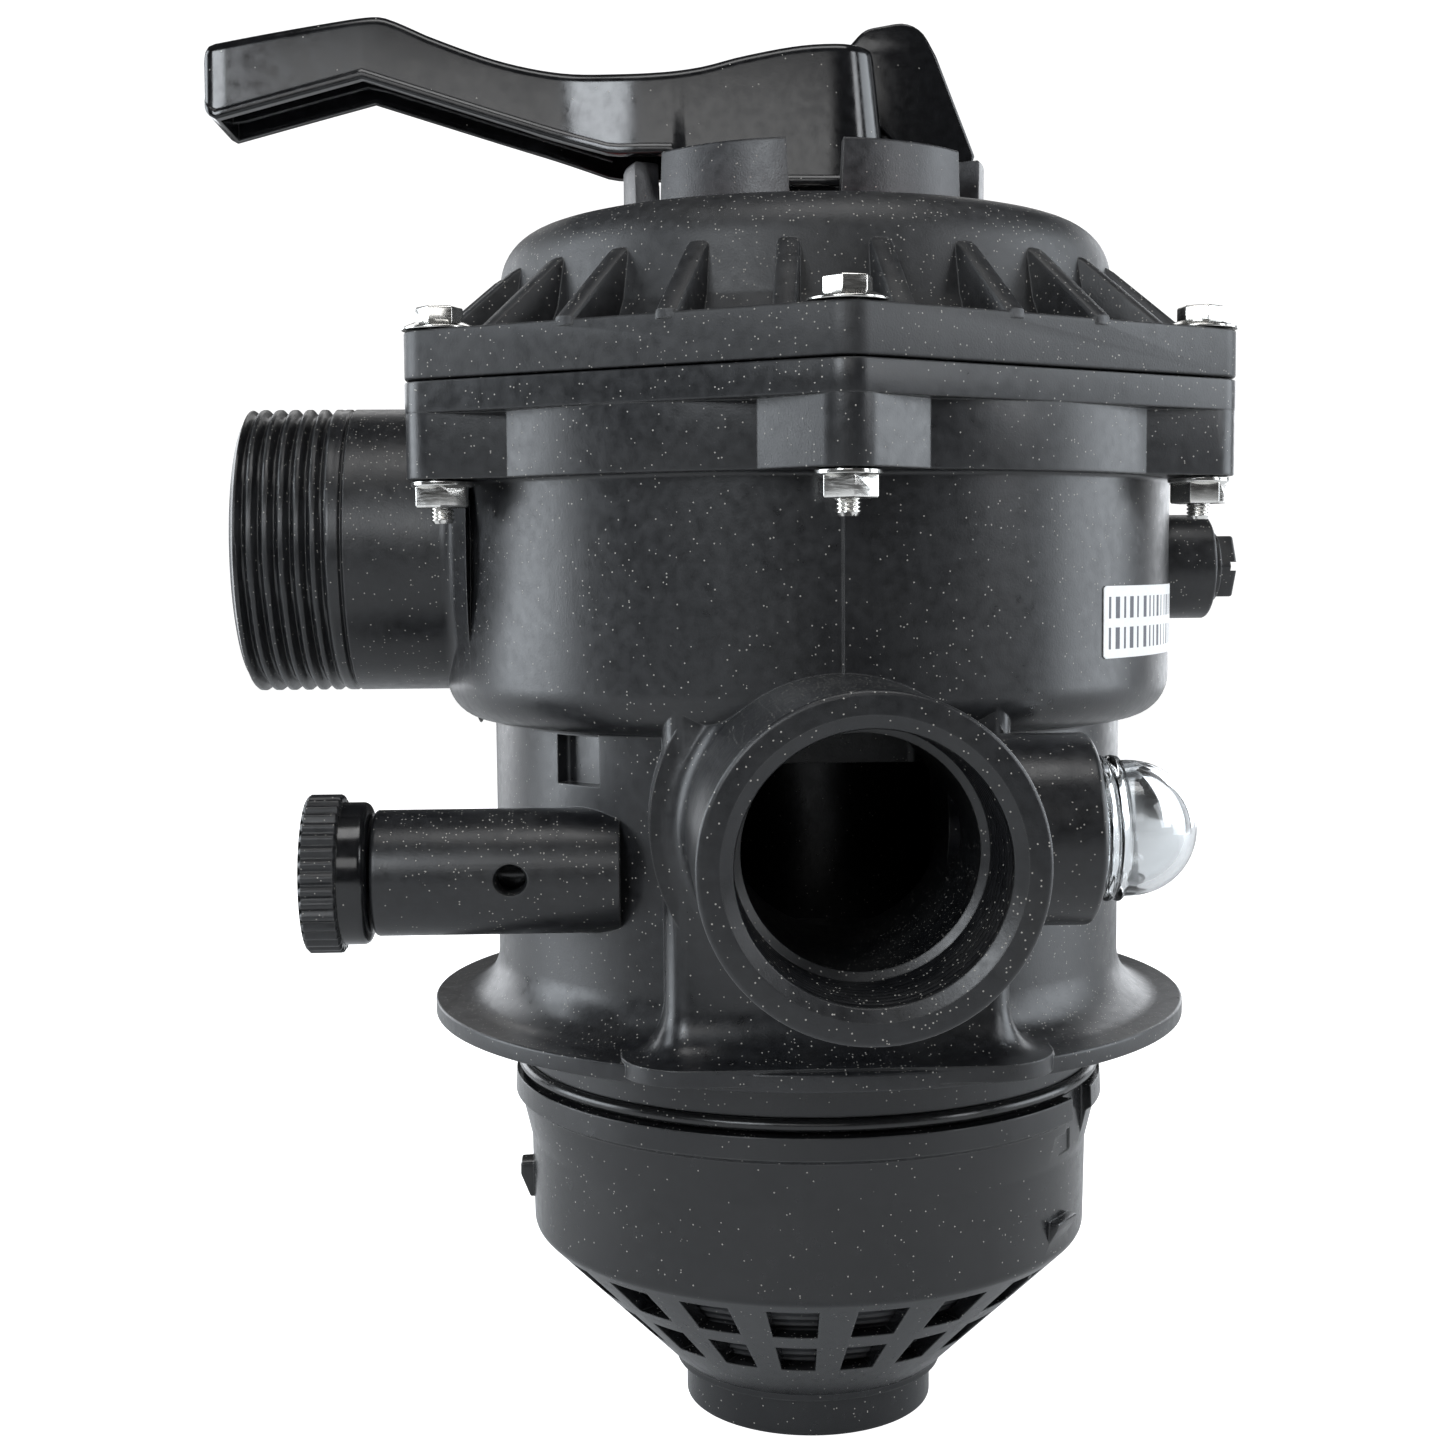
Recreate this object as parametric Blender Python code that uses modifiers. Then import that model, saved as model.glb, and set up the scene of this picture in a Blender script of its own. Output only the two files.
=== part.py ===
"""Top-mount multiport valve for a sand filter: body, cover, rotor, lever and fittings.

Metres, +Z up. The origin is on the valve's axis, on the underside of the clamp disc that seats
on the tank's neck. The waste port points along -Y, the return port along +Y, the pump port
along -X, and the lever's grip lies over the pump port.
"""

import math

import bmesh
import bpy
from mathutils import Matrix, Vector

MM = 0.001
GAP = 0.3 * MM
MERGE = 0.00002
TURN_STEPS = 24
SMALL_STEPS = 12

# Clamp disc and neck
DISC_R = 87.5 * MM
DISC_RIM = 3.7 * MM
NECK_R = 72.6 * MM
NECK_BORE_R = 66.0 * MM
NECK_FILLET = 10.5 * MM
SPIGOT_R = 66.8 * MM
SPIGOT_END = -34.0 * MM
GROOVE_R = 64.6 * MM
GROOVE_TOP = -10.6 * MM
GROOVE_LOW = -13.7 * MM
PIPE_R = 30.0 * MM
PIPE_BORE_R = 24.0 * MM
PIPE_END = -60.0 * MM

# Bowl, port plate and flanges
BOWL_R = 83.5 * MM
BOWL_BORE_R = 78.5 * MM
BOWL_LOW = 68.6 * MM
BOWL_ROUND = 9.3 * MM
FLOOR_LOW = 60.0 * MM
FLOOR_TOP = 73.0 * MM
PLATE_LOW = 127.0 * MM
PLATE_TOP = 133.0 * MM
SKIRT_LOW = 121.3 * MM
FLANGE_LOW = 134.8 * MM
SEAM = 141.4 * MM
COVER_LOW = SEAM + GAP
COVER_FLANGE_TOP = 151.8 * MM
BOLT_CIRCLE_R = 92.6 * MM
CORNER_R = 7.4 * MM
SKIRT_ROUND_R = 87.4 * MM
CREASE_ANGLE = 11.0
POST_HALF_ANGLE = 46.2
POST_STEPS = 8
SKIRT_STEPS = 8
FLANGE_INNER_R = 84.5 * MM
SKIRT_INNER_R = 81.7 * MM
FLANGE_ROUND_R = 86.0 * MM
SEAL_REBATE_R = 83.2 * MM
SEAL_REBATE_LOW = 137.2 * MM
BOLT_HOLE_R = 2.9 * MM

# Ports: the mouths of the waste and return ports take a 1 1/2 inch pipe thread
PORT_R = 30.9 * MM
PORT_END = 133.4 * MM
PORT_Z = 51.0 * MM
PORT_MOUTH_R = 24.1 * MM
PORT_CHAMFER_R = 26.1 * MM
PORT_BORE_R = 21.9 * MM
PORT_THREAD_DEPTH = 20.4 * MM
PUMP_R = 32.3 * MM
PUMP_ROOT_R = 30.4 * MM
PUMP_END = 128.0 * MM
PUMP_Z = 107.2 * MM
PUMP_BORE_R = 23.0 * MM
PUMP_INNER_R = 19.0 * MM
THREAD_PITCH = 3.3 * MM
THREAD_TURNS = 6
PANEL_HALF = 35.0 * MM
PANEL_FACE = 76.5 * MM
DUCT_HALF = 22.0 * MM

# Side fittings
RELIEF_Y = -51.0 * MM
RELIEF_Z = 39.3 * MM
RELIEF_R = 13.2 * MM
RELIEF_END = -95.0 * MM
RELIEF_BORE_R = 5.4 * MM
VENT_X = -66.3 * MM
VENT_R = 3.1 * MM
GLASS_Y = -83.0 * MM
GLASS_BOSS_R = 18.9 * MM
GLASS_BOSS_END = 48.2 * MM
GLASS_BORE_R = 12.6 * MM
GAUGE_Z = 102.0 * MM
GAUGE_R = 12.2 * MM
GAUGE_END = 94.9 * MM
GAUGE_BORE_R = 5.9 * MM
RECESS_ANGLE = -46.5

# Cover
DOME_TOP = 178.6 * MM
DOME_FLAT_R = 57.0 * MM
DOME_SHOULDER = 10.0 * MM
STEM_BORE_R = 13.2 * MM
HUB_R = 19.0 * MM
HUB_TOP = 183.0 * MM
HUB_LOW = 166.0 * MM
RING_R = 41.5 * MM
RING_BORE_R = 35.5 * MM
RING_TOP = 193.3 * MM
SLOT_WIDTH = 10.8 * MM
RIB_COUNT = 24
RIB_WIDTH = 4.5 * MM
POSITIONS = 6

# Rotor and lever
STEM_R = 12.8 * MM
STEM_TOP = 206.0 * MM
ROTOR_R = 62.5 * MM
ROTOR_LOW = 136.9 * MM
SPRING_POCKET_R = 20.5 * MM
SPRING_POCKET_LOW = 144.0 * MM
SPRING_R = 16.4 * MM
SPRING_WIRE_R = 1.3 * MM
SPRING_TURNS = 4.5
PIN_Z = 199.0 * MM
PIN_R = 2.8 * MM
PIN_HOLE_R = 3.1 * MM
LEVER_HALF = 13.5 * MM
LEVER_WALL = 2.8 * MM
HEAD_HALF = 17.5 * MM
HEAD_WALL = 3.6 * MM

# Strainer
WINDOWS = 20
WINDOW_HALF_ANGLE = 5.2
STRAINER_TOP = -14.2 * MM
STRAINER_R = 65.2 * MM
CONE_TOP = -51.0 * MM
CONE_LOW = -84.6 * MM
SOCKET_R = 29.2 * MM
SOCKET_END = -95.3 * MM
SOCKET_BORE_R = 24.2 * MM

DOWN_X = Matrix.Rotation(math.radians(-90), 4, "Y")
DOWN_Y = Matrix.Rotation(math.radians(90), 4, "X")
UP_Y = Matrix.Rotation(math.radians(-90), 4, "X")
UP_X = Matrix.Rotation(math.radians(90), 4, "Y")


def clear_scene():
    for obj in list(bpy.data.objects):
        bpy.data.objects.remove(obj, do_unlink=True)


def new_collection(name):
    made = bpy.data.collections.new(name)
    bpy.context.scene.collection.children.link(made)
    return made


def material(name, colour, roughness, metallic=0.0, alpha=1.0):
    made = bpy.data.materials.new(name)
    made.use_nodes = True
    shader = made.node_tree.nodes["Principled BSDF"]
    shader.inputs["Base Color"].default_value = (*colour, 1.0)
    shader.inputs["Roughness"].default_value = roughness
    shader.inputs["Metallic"].default_value = metallic
    shader.inputs["Alpha"].default_value = alpha
    return made


def black(name):
    return material(name, (0.02, 0.021, 0.022), 0.4)


def rubber(name):
    return material(name, (0.012, 0.012, 0.012), 0.6)


def steel(name):
    return material(name, (0.75, 0.74, 0.71), 0.22, 1.0)


# ---------------------------------------------------------------- building blocks


def add_object(name, mesh, home, matrix=None):
    made = bpy.data.objects.new(name, mesh)
    home.objects.link(made)
    if matrix is not None:
        made.matrix_world = matrix
    if home is CUTTERS:
        made.hide_render = True
        made.display_type = "WIRE"
    return made


def finish(obj, look):
    obj.data.materials.append(look)
    obj.data.shade_smooth()
    obj.data.set_sharp_from_angle(angle=math.radians(35))
    return obj


def arc(centre_r, centre_z, radius, start, end, count):
    """Points on a circle in the profile plane, angles in degrees from +r towards +z."""
    points = []
    for i in range(count + 1):
        angle = math.radians(start + (end - start) * i / count)
        points.append((centre_r + radius * math.cos(angle), centre_z + radius * math.sin(angle)))
    return points


def turned(name, profile, home, matrix=None, steps=TURN_STEPS, closed=True):
    """A solid of revolution about local Z. The profile runs down its outer side."""
    mesh = bpy.data.meshes.new(name)
    points = [(r, 0.0, z) for r, z in profile]
    edges = [(i, i + 1) for i in range(len(points) - 1)]
    if closed:
        edges.append((len(points) - 1, 0))
    mesh.from_pydata(points, edges, [])
    made = add_object(name, mesh, home, matrix)
    screw = made.modifiers.new("turn", "SCREW")
    screw.axis = "Z"
    screw.angle = math.tau
    screw.steps = steps
    screw.render_steps = steps
    screw.use_merge_vertices = True
    screw.merge_threshold = MERGE
    screw.use_smooth_shade = True
    return made


def torus(name, radius, thickness_r, home, matrix, steps=TURN_STEPS):
    """A rubber ring: a round section turned about local Z."""
    section = arc(radius, 0.0, thickness_r, 90, -270, 6)[:-1]
    return turned(name, section, home, matrix, steps)


def rod(name, radius, low, high, home, matrix=None, steps=SMALL_STEPS):
    """A plain cylinder along local Z from low to high."""
    return turned(name, [(0, high), (radius, high), (radius, low), (0, low)], home, matrix, steps, False)


def box(name, low, high, home, rounding=0.0, matrix=None):
    mesh = bpy.data.meshes.new(name)
    shape = bmesh.new()
    bmesh.ops.create_cube(shape, size=1.0)
    size = Vector(high) - Vector(low)
    middle = (Vector(high) + Vector(low)) / 2
    bmesh.ops.scale(shape, vec=size, verts=shape.verts)
    bmesh.ops.translate(shape, vec=middle, verts=shape.verts)
    shape.to_mesh(mesh)
    shape.free()
    made = add_object(name, mesh, home, matrix)
    if rounding:
        bevel = made.modifiers.new("edges", "BEVEL")
        bevel.width = rounding
        bevel.segments = 2
    return made


def prism(name, outlines, low, high, home, matrix=None):
    """Flat outlines extruded along local Z from low to high, as one mesh."""
    curve = bpy.data.curves.new(name + "_outline", "CURVE")
    curve.dimensions = "2D"
    curve.fill_mode = "BOTH"
    curve.extrude = (high - low) / 2
    for outline in outlines:
        spline = curve.splines.new("POLY")
        spline.points.add(len(outline) - 1)
        spline.use_cyclic_u = True
        for point, (x, y) in zip(spline.points, outline):
            point.co = (x, y, 0.0, 1.0)
    guide = add_object(name + "_outline", curve, CUTTERS)
    bpy.context.view_layer.update()
    graph = bpy.context.evaluated_depsgraph_get()
    mesh = bpy.data.meshes.new_from_object(guide.evaluated_get(graph))
    bpy.data.objects.remove(guide, do_unlink=True)
    shape = bmesh.new()
    shape.from_mesh(mesh)
    bmesh.ops.remove_doubles(shape, verts=shape.verts, dist=MERGE / 4)
    bmesh.ops.translate(shape, vec=(0, 0, (high + low) / 2), verts=shape.verts)
    bmesh.ops.recalc_face_normals(shape, faces=shape.faces)
    shape.to_mesh(mesh)
    shape.free()
    mesh.materials.clear()
    return add_object(name, mesh, home, matrix)


def sector(inner, outer, middle, half, count=5):
    """The outline of a ring sector, angles in degrees from +X."""
    out = []
    for i in range(count + 1):
        angle = math.radians(middle - half + 2 * half * i / count)
        out.append((outer * math.cos(angle), outer * math.sin(angle)))
    for i in range(count + 1):
        angle = math.radians(middle + half - 2 * half * i / count)
        out.append((inner * math.cos(angle), inner * math.sin(angle)))
    return out


def rounded_hexagon(corner_circle, rounding, count=3):
    """A hexagon whose round corners are centred on corner_circle, one of them towards -Y."""
    out = []
    for corner in range(6):
        middle = -90 + 60 * corner
        cx = corner_circle * math.cos(math.radians(middle))
        cy = corner_circle * math.sin(math.radians(middle))
        for i in range(count + 1):
            angle = math.radians(middle - 30 + 60 * i / count)
            out.append((cx + rounding * math.cos(angle), cy + rounding * math.sin(angle)))
    return out


def combine(obj, operation, others, solver="EXACT"):
    for other in others:
        step = obj.modifiers.new(other.name, "BOOLEAN")
        step.operation = operation
        step.object = other
        step.solver = solver
    return obj


def around(count, first=0.0):
    """Angles in degrees of things spaced evenly round the axis, counted from -Y."""
    return [first + 360.0 * i / count for i in range(count)]


def at_angle(radius, angle):
    """The point at this radius and angle, counted from -Y towards +X."""
    turn = math.radians(angle)
    return (radius * math.sin(turn), -radius * math.cos(turn))


def along(axis_matrix, x=0.0, y=0.0, z=0.0):
    return Matrix.Translation((x, y, z)) @ axis_matrix


def circle(radius, count):
    return [(radius * math.cos(math.tau * i / count),
             radius * math.sin(math.tau * i / count)) for i in range(count)]


def bolt_holes(name, low, high):
    holes = []
    for angle in around(6):
        cx, cy = at_angle(BOLT_CIRCLE_R, angle)
        holes.append([(cx + x, cy + y) for x, y in circle(BOLT_HOLE_R, 8)])
    return prism(name, holes, low, high, CUTTERS)


# ---------------------------------------------------------------- valve body


def body_profile():
    fillet = arc(NECK_R + NECK_FILLET, DISC_RIM + 0.9 * MM + NECK_FILLET, NECK_FILLET, 180, 270, 3)
    bowl_round = arc(BOWL_R - BOWL_ROUND, BOWL_LOW + BOWL_ROUND, BOWL_ROUND, 0, -90, 3)
    skirt = SKIRT_LOW + 0.2 * MM
    top = SEAM - 0.2 * MM
    outer = [(FLANGE_ROUND_R, top), (FLANGE_ROUND_R, skirt), (BOWL_R, skirt)]
    outer += bowl_round + [(NECK_R, BOWL_LOW)] + fillet
    outer += [(DISC_R, DISC_RIM), (DISC_R, 0), (SPIGOT_R, 0), (SPIGOT_R, GROOVE_TOP)]
    outer += [(GROOVE_R, GROOVE_TOP), (GROOVE_R, GROOVE_LOW), (62 * MM, GROOVE_LOW),
              (62 * MM, SPIGOT_END)]
    inner = [(57 * MM, SPIGOT_END), (57 * MM, -4 * MM), (NECK_BORE_R, 6 * MM), (NECK_BORE_R, FLOOR_LOW)]
    inner += [(PIPE_R, FLOOR_LOW), (PIPE_R, PIPE_END), (PIPE_BORE_R, PIPE_END), (PIPE_BORE_R, PLATE_TOP)]
    inner += [(BOWL_BORE_R, PLATE_TOP), (BOWL_BORE_R, SEAL_REBATE_LOW), (SEAL_REBATE_R, SEAL_REBATE_LOW)]
    inner += [(SEAL_REBATE_R, top)]
    return outer + inner


def chamber_cutter():
    low = FLOOR_TOP
    profile = [(PIPE_R, PLATE_LOW), (BOWL_BORE_R, PLATE_LOW), (BOWL_BORE_R, low + 6 * MM)]
    profile += [(BOWL_BORE_R - 6 * MM, low), (PIPE_R, low)]
    return turned("chamber", profile, CUTTERS)


def bowl_bore_cutter():
    """The open top of the bowl above the port plate, with the step that holds the cover's seal."""
    profile = [(0, SEAM + MM), (SEAL_REBATE_R, SEAM + MM), (SEAL_REBATE_R, SEAL_REBATE_LOW)]
    profile += [(BOWL_BORE_R, SEAL_REBATE_LOW), (BOWL_BORE_R, PLATE_TOP), (0, PLATE_TOP)]
    return turned("bowl_bore", profile, CUTTERS, closed=False)


def chamber_walls():
    """Radial walls between the pump, waste, return and tank-top chambers."""
    walls = []
    for angle in (30, 150, 210, 330):
        turn = Matrix.Rotation(math.radians(angle), 4, "Z")
        low = (PIPE_R - 2 * MM, -1.6 * MM, FLOOR_TOP - 2 * MM)
        high = (BOWL_BORE_R + 2 * MM, 1.6 * MM, PLATE_LOW + 2 * MM)
        walls.append(box(f"chamber_wall_{angle}", low, high, CUTTERS, matrix=turn))
    return walls


def waste_and_return_shapes():
    """The pipe, panel and inner duct of the two low ports, and what is cut out of them."""
    solids, cuts = [], []
    for name, turn in (("waste", Matrix.Identity(4)), ("return", Matrix.Rotation(math.pi, 4, "Z"))):
        pipe_matrix = turn @ along(DOWN_Y, z=PORT_Z)
        solids.append(rod(f"{name}_pipe", PORT_R, NECK_R - 12 * MM, PORT_END, CUTTERS, pipe_matrix, 16))
        low, high = (-PANEL_HALF, -PANEL_FACE, 1 * MM), (PANEL_HALF, -NECK_R + 14 * MM, BOWL_LOW + 4 * MM)
        solids.append(box(f"{name}_panel", low, high, CUTTERS, 4 * MM, turn))
        low, high = (-DUCT_HALF - 4 * MM, -NECK_R + 4 * MM, 20 * MM), (DUCT_HALF + 4 * MM, -34 * MM,
                                                                       FLOOR_LOW + 2 * MM)
        solids.append(box(f"{name}_duct", low, high, CUTTERS, matrix=turn))
        low, high = (-DUCT_HALF, -NECK_R + 8 * MM, 28 * MM), (DUCT_HALF, -38 * MM, FLOOR_TOP + 3 * MM)
        cuts.append(box(f"{name}_duct_cut", low, high, CUTTERS, matrix=turn))
        mouth = [(0, PORT_END + 1 * MM), (PORT_CHAMFER_R + 1 * MM, PORT_END + 1 * MM)]
        mouth += [(PORT_MOUTH_R, PORT_END - 2 * MM),
                  (PORT_BORE_R + 0.8 * MM, PORT_END - PORT_THREAD_DEPTH)]
        mouth += [(PORT_BORE_R, PORT_END - PORT_THREAD_DEPTH), (PORT_BORE_R, 50 * MM), (0, 50 * MM)]
        cuts.append(turned(f"{name}_bore", mouth, CUTTERS, pipe_matrix, SMALL_STEPS, False))
    return solids, cuts


def pump_shapes():
    """The pump port: a pipe with a coarse outside thread, and its bore."""
    profile = [(0, PUMP_END), (PUMP_ROOT_R, PUMP_END)]
    start = PUMP_END - 2 * MM
    for turn in range(THREAD_TURNS):
        top = start - turn * THREAD_PITCH
        profile += [(PUMP_ROOT_R, top), (PUMP_R, top - 1.4 * MM), (PUMP_ROOT_R, top - 2.8 * MM)]
    end = start - THREAD_TURNS * THREAD_PITCH
    profile += [(PUMP_ROOT_R, end), (PUMP_R, end - 0.6 * MM), (PUMP_R, 60 * MM), (0, 60 * MM)]
    matrix = along(DOWN_X, z=PUMP_Z)
    pipe = turned("pump_pipe", profile, CUTTERS, matrix, 16, False)
    bore = [(0, PUMP_END + MM), (PUMP_BORE_R, PUMP_END + MM), (PUMP_BORE_R, 98 * MM)]
    bore += [(PUMP_INNER_R, 88 * MM), (PUMP_INNER_R, 60 * MM), (0, 60 * MM)]
    return [pipe], [turned("pump_bore", bore, CUTTERS, matrix, SMALL_STEPS, False)]


def boss_shapes():
    """Round bosses for the air relief, the sight glass and the gauge, with their bores."""
    relief = along(DOWN_X, y=RELIEF_Y, z=RELIEF_Z)
    glass = along(UP_X, y=GLASS_Y, z=PORT_Z)
    gauge = along(UP_X, z=GAUGE_Z)
    solids = [
        rod("relief_boss", RELIEF_R, 45 * MM, -RELIEF_END, CUTTERS, relief),
        rod("glass_boss", GLASS_BOSS_R, 14 * MM, GLASS_BOSS_END, CUTTERS, glass),
        rod("gauge_boss", GAUGE_R, 80.5 * MM, GAUGE_END, CUTTERS, gauge),
    ]
    seat = [(0, GLASS_BOSS_END + MM), (GLASS_BORE_R, GLASS_BOSS_END + MM), (GLASS_BORE_R, 40 * MM)]
    seat += [(7 * MM, 40 * MM), (7 * MM, 12 * MM), (0, 12 * MM)]
    vent = along(DOWN_Y, x=VENT_X, z=RELIEF_Z)
    cuts = [
        rod("relief_bore", RELIEF_BORE_R, 30 * MM, -RELIEF_END + MM, CUTTERS, relief, 16),
        rod("vent_hole", VENT_R, -RELIEF_Y, -RELIEF_Y + 20 * MM, CUTTERS, vent, 12),
        turned("glass_bore", seat, CUTTERS, glass, SMALL_STEPS, False),
        rod("gauge_bore", GAUGE_BORE_R, 70 * MM, GAUGE_END + MM, CUTTERS, gauge),
    ]
    return solids, cuts


def plate_openings():
    """Six openings in the port plate and one in the bowl's floor above the tank neck."""
    outlines = [sector(34 * MM, 59 * MM, 60 * i, 25) for i in range(POSITIONS)]
    through_plate = prism("plate_openings", outlines, PLATE_LOW - 2 * MM, PLATE_TOP + 2 * MM, CUTTERS)
    kidney = sector(36 * MM, 62 * MM, 0, 26)
    through_floor = prism("floor_opening", [kidney], FLOOR_LOW - 2 * MM, FLOOR_TOP + 2 * MM, CUTTERS)
    return [through_plate, through_floor]


def skirt_outline():
    """Round under each flat of the flange, with straight webs from sharp creases to the corner posts."""
    points = []
    for corner in around(6):
        x, y = at_angle(BOLT_CIRCLE_R, corner)
        for step in range(POST_STEPS + 1):
            swing = corner - POST_HALF_ANGLE + 2 * POST_HALF_ANGLE * step / POST_STEPS
            out_x, out_y = at_angle(CORNER_R - GAP, swing)
            points.append((x + out_x, y + out_y))
        span = 60 - 2 * CREASE_ANGLE
        for step in range(SKIRT_STEPS + 1):
            points.append(at_angle(SKIRT_ROUND_R, corner + CREASE_ANGLE + span * step / SKIRT_STEPS))
    return points


def flange_shapes():
    inner_round = circle(FLANGE_INNER_R, TURN_STEPS)
    skirt_round = circle(SKIRT_INNER_R, TURN_STEPS)
    plate_outline = rounded_hexagon(BOLT_CIRCLE_R, CORNER_R)
    plate = prism("body_flange", [plate_outline, inner_round], FLANGE_LOW, SEAM, CUTTERS)
    skirt = prism("flange_skirt", [skirt_outline(), skirt_round], SKIRT_LOW, FLANGE_LOW + MM, CUTTERS)
    return [plate, skirt]


def make_valve_body():
    body = turned("valve_body", body_profile(), PARTS)
    flange = flange_shapes()
    low_ports, low_cuts = waste_and_return_shapes()
    pump, pump_cuts = pump_shapes()
    bosses, boss_cuts = boss_shapes()
    combine(body, "UNION", flange + low_ports + pump + bosses, "MANIFOLD")
    combine(body, "DIFFERENCE", [chamber_cutter(), bowl_bore_cutter()], "MANIFOLD")
    combine(body, "UNION", chamber_walls(), "MANIFOLD")
    turn = Matrix.Rotation(math.radians(RECESS_ANGLE), 4, "Z")
    recess = box("square_recess", (-6.6 * MM, -NECK_R - MM, 57 * MM),
                 (6.6 * MM, -NECK_R + 3.5 * MM, 67.8 * MM), CUTTERS, matrix=turn)
    holes = bolt_holes("body_bolt_holes", SKIRT_LOW - MM, SEAM + MM)
    cuts = low_cuts + pump_cuts + boss_cuts + plate_openings() + [recess, holes]
    combine(body, "DIFFERENCE", cuts, "MANIFOLD")
    finish(body, black("valve_body"))


# ---------------------------------------------------------------- cover


def cover_profile():
    shoulder = arc(DOME_FLAT_R, DOME_TOP - DOME_SHOULDER, DOME_SHOULDER, 90, 12, 3)
    outer = [(STEM_BORE_R, HUB_TOP), (HUB_R, HUB_TOP), (HUB_R, DOME_TOP), (RING_BORE_R, DOME_TOP)]
    outer += [(RING_BORE_R, RING_TOP), (RING_R, RING_TOP), (RING_R, DOME_TOP)]
    outer += shoulder + [(72 * MM, 157 * MM), (75 * MM, COVER_FLANGE_TOP),
                         (80 * MM, COVER_FLANGE_TOP - 2 * MM)]
    inner = [(80 * MM, COVER_LOW), (78.2 * MM, COVER_LOW), (78.2 * MM, 138.9 * MM), (74 * MM, 138.9 * MM)]
    inner += [(70 * MM, 146 * MM), (67.3 * MM, 157 * MM), (62 * MM, 168 * MM), (55 * MM, 173.6 * MM)]
    inner += [(HUB_R, 173.6 * MM), (HUB_R, HUB_LOW), (STEM_BORE_R, HUB_LOW)]
    return outer + inner


def cover_ribs():
    """Triangular gussets between the dome and the flange, midway between one another's bolts."""
    upright = Matrix.Rotation(math.radians(90), 4, "X")
    outline = [(65 * MM, 151 * MM), (88.5 * MM, 151 * MM), (88.5 * MM, 152.6 * MM),
               (69 * MM, 174.2 * MM), (64.5 * MM, 173.6 * MM)]
    ribs = []
    for index in range(RIB_COUNT):
        turn = Matrix.Rotation(math.radians(7.5 + 360 / RIB_COUNT * index), 4, "Z")
        ribs.append(prism(f"rib_{index}", [outline], -RIB_WIDTH / 2, RIB_WIDTH / 2, CUTTERS,
                          turn @ upright))
    return ribs


def make_valve_cover():
    cover = turned("valve_cover", cover_profile(), PARTS)
    hexagon = rounded_hexagon(BOLT_CIRCLE_R, CORNER_R)
    inner_round = circle(79.1 * MM, TURN_STEPS)
    plate = prism("cover_flange", [hexagon, inner_round], COVER_LOW, COVER_FLANGE_TOP, CUTTERS)
    combine(cover, "UNION", [plate] + cover_ribs(), "MANIFOLD")
    slots = []
    for index, angle in enumerate(around(POSITIONS, -1.5)):
        turn = Matrix.Rotation(math.radians(angle), 4, "Z")
        low, high = (-SLOT_WIDTH / 2, -RING_R - 2 * MM, DOME_TOP + 1.6 * MM), (SLOT_WIDTH / 2,
                                                                               -RING_BORE_R + 2 * MM,
                                                                               RING_TOP + MM)
        slots.append(box(f"ring_slot_{index}", low, high, CUTTERS, matrix=turn))
    combine(cover, "DIFFERENCE", slots + [bolt_holes("cover_bolt_holes", COVER_LOW - MM,
                                                     COVER_FLANGE_TOP + MM)])
    finish(cover, black("valve_cover"))


def make_position_label():
    low, high = DOME_TOP + GAP, DOME_TOP + GAP + 0.6 * MM
    ring = [(RING_R + GAP, high), (DOME_FLAT_R, high), (DOME_FLAT_R, low), (RING_R + GAP, low)]
    finish(turned("position_label", ring, PARTS), material("position_label", (0.55, 0.03, 0.03), 0.35))


# ---------------------------------------------------------------- rotor and its seals


def make_rotor():
    upper, lower = 175.6 * MM, 169.6 * MM
    half, floor = 1.5 * MM, 10.7 * MM
    profile = [(0, STEM_TOP), (STEM_R - MM, STEM_TOP), (STEM_R, STEM_TOP - MM)]
    for middle in (upper, lower):
        profile += [(STEM_R, middle + half), (floor, middle + half), (floor, middle - half),
                    (STEM_R, middle - half)]
    profile += [(STEM_R, SPRING_POCKET_LOW), (SPRING_POCKET_R, SPRING_POCKET_LOW),
                (SPRING_POCKET_R, 155 * MM)]
    profile += [(54 * MM, 155 * MM), (59 * MM, 151 * MM), (59 * MM, 142 * MM), (ROTOR_R, 142 * MM)]
    profile += [(ROTOR_R, ROTOR_LOW), (0, ROTOR_LOW)]
    rotor = turned("rotor", profile, PARTS, closed=False)
    window = prism("rotor_window", [sector(36 * MM, 56 * MM, 180, 22)], ROTOR_LOW - MM, 157 * MM, CUTTERS)
    transfer = sector(23.5 * MM, 56 * MM, 0, 52, 8)
    pocket = prism("rotor_pocket", [transfer], ROTOR_LOW - MM, 151 * MM, CUTTERS)
    pin_hole = rod("rotor_pin_hole", PIN_HOLE_R, -20 * MM, 20 * MM, CUTTERS, along(UP_Y, z=PIN_Z), 16)
    combine(rotor, "DIFFERENCE", [window, pocket, pin_hole])
    finish(rotor, black("rotor"))
    for name, height in (("stem_o_ring_upper", upper), ("stem_o_ring_lower", lower)):
        ring = torus(name, 11.95 * MM, 1.1 * MM, PARTS, along(Matrix.Identity(4), z=height))
        finish(ring, rubber(name))


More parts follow.
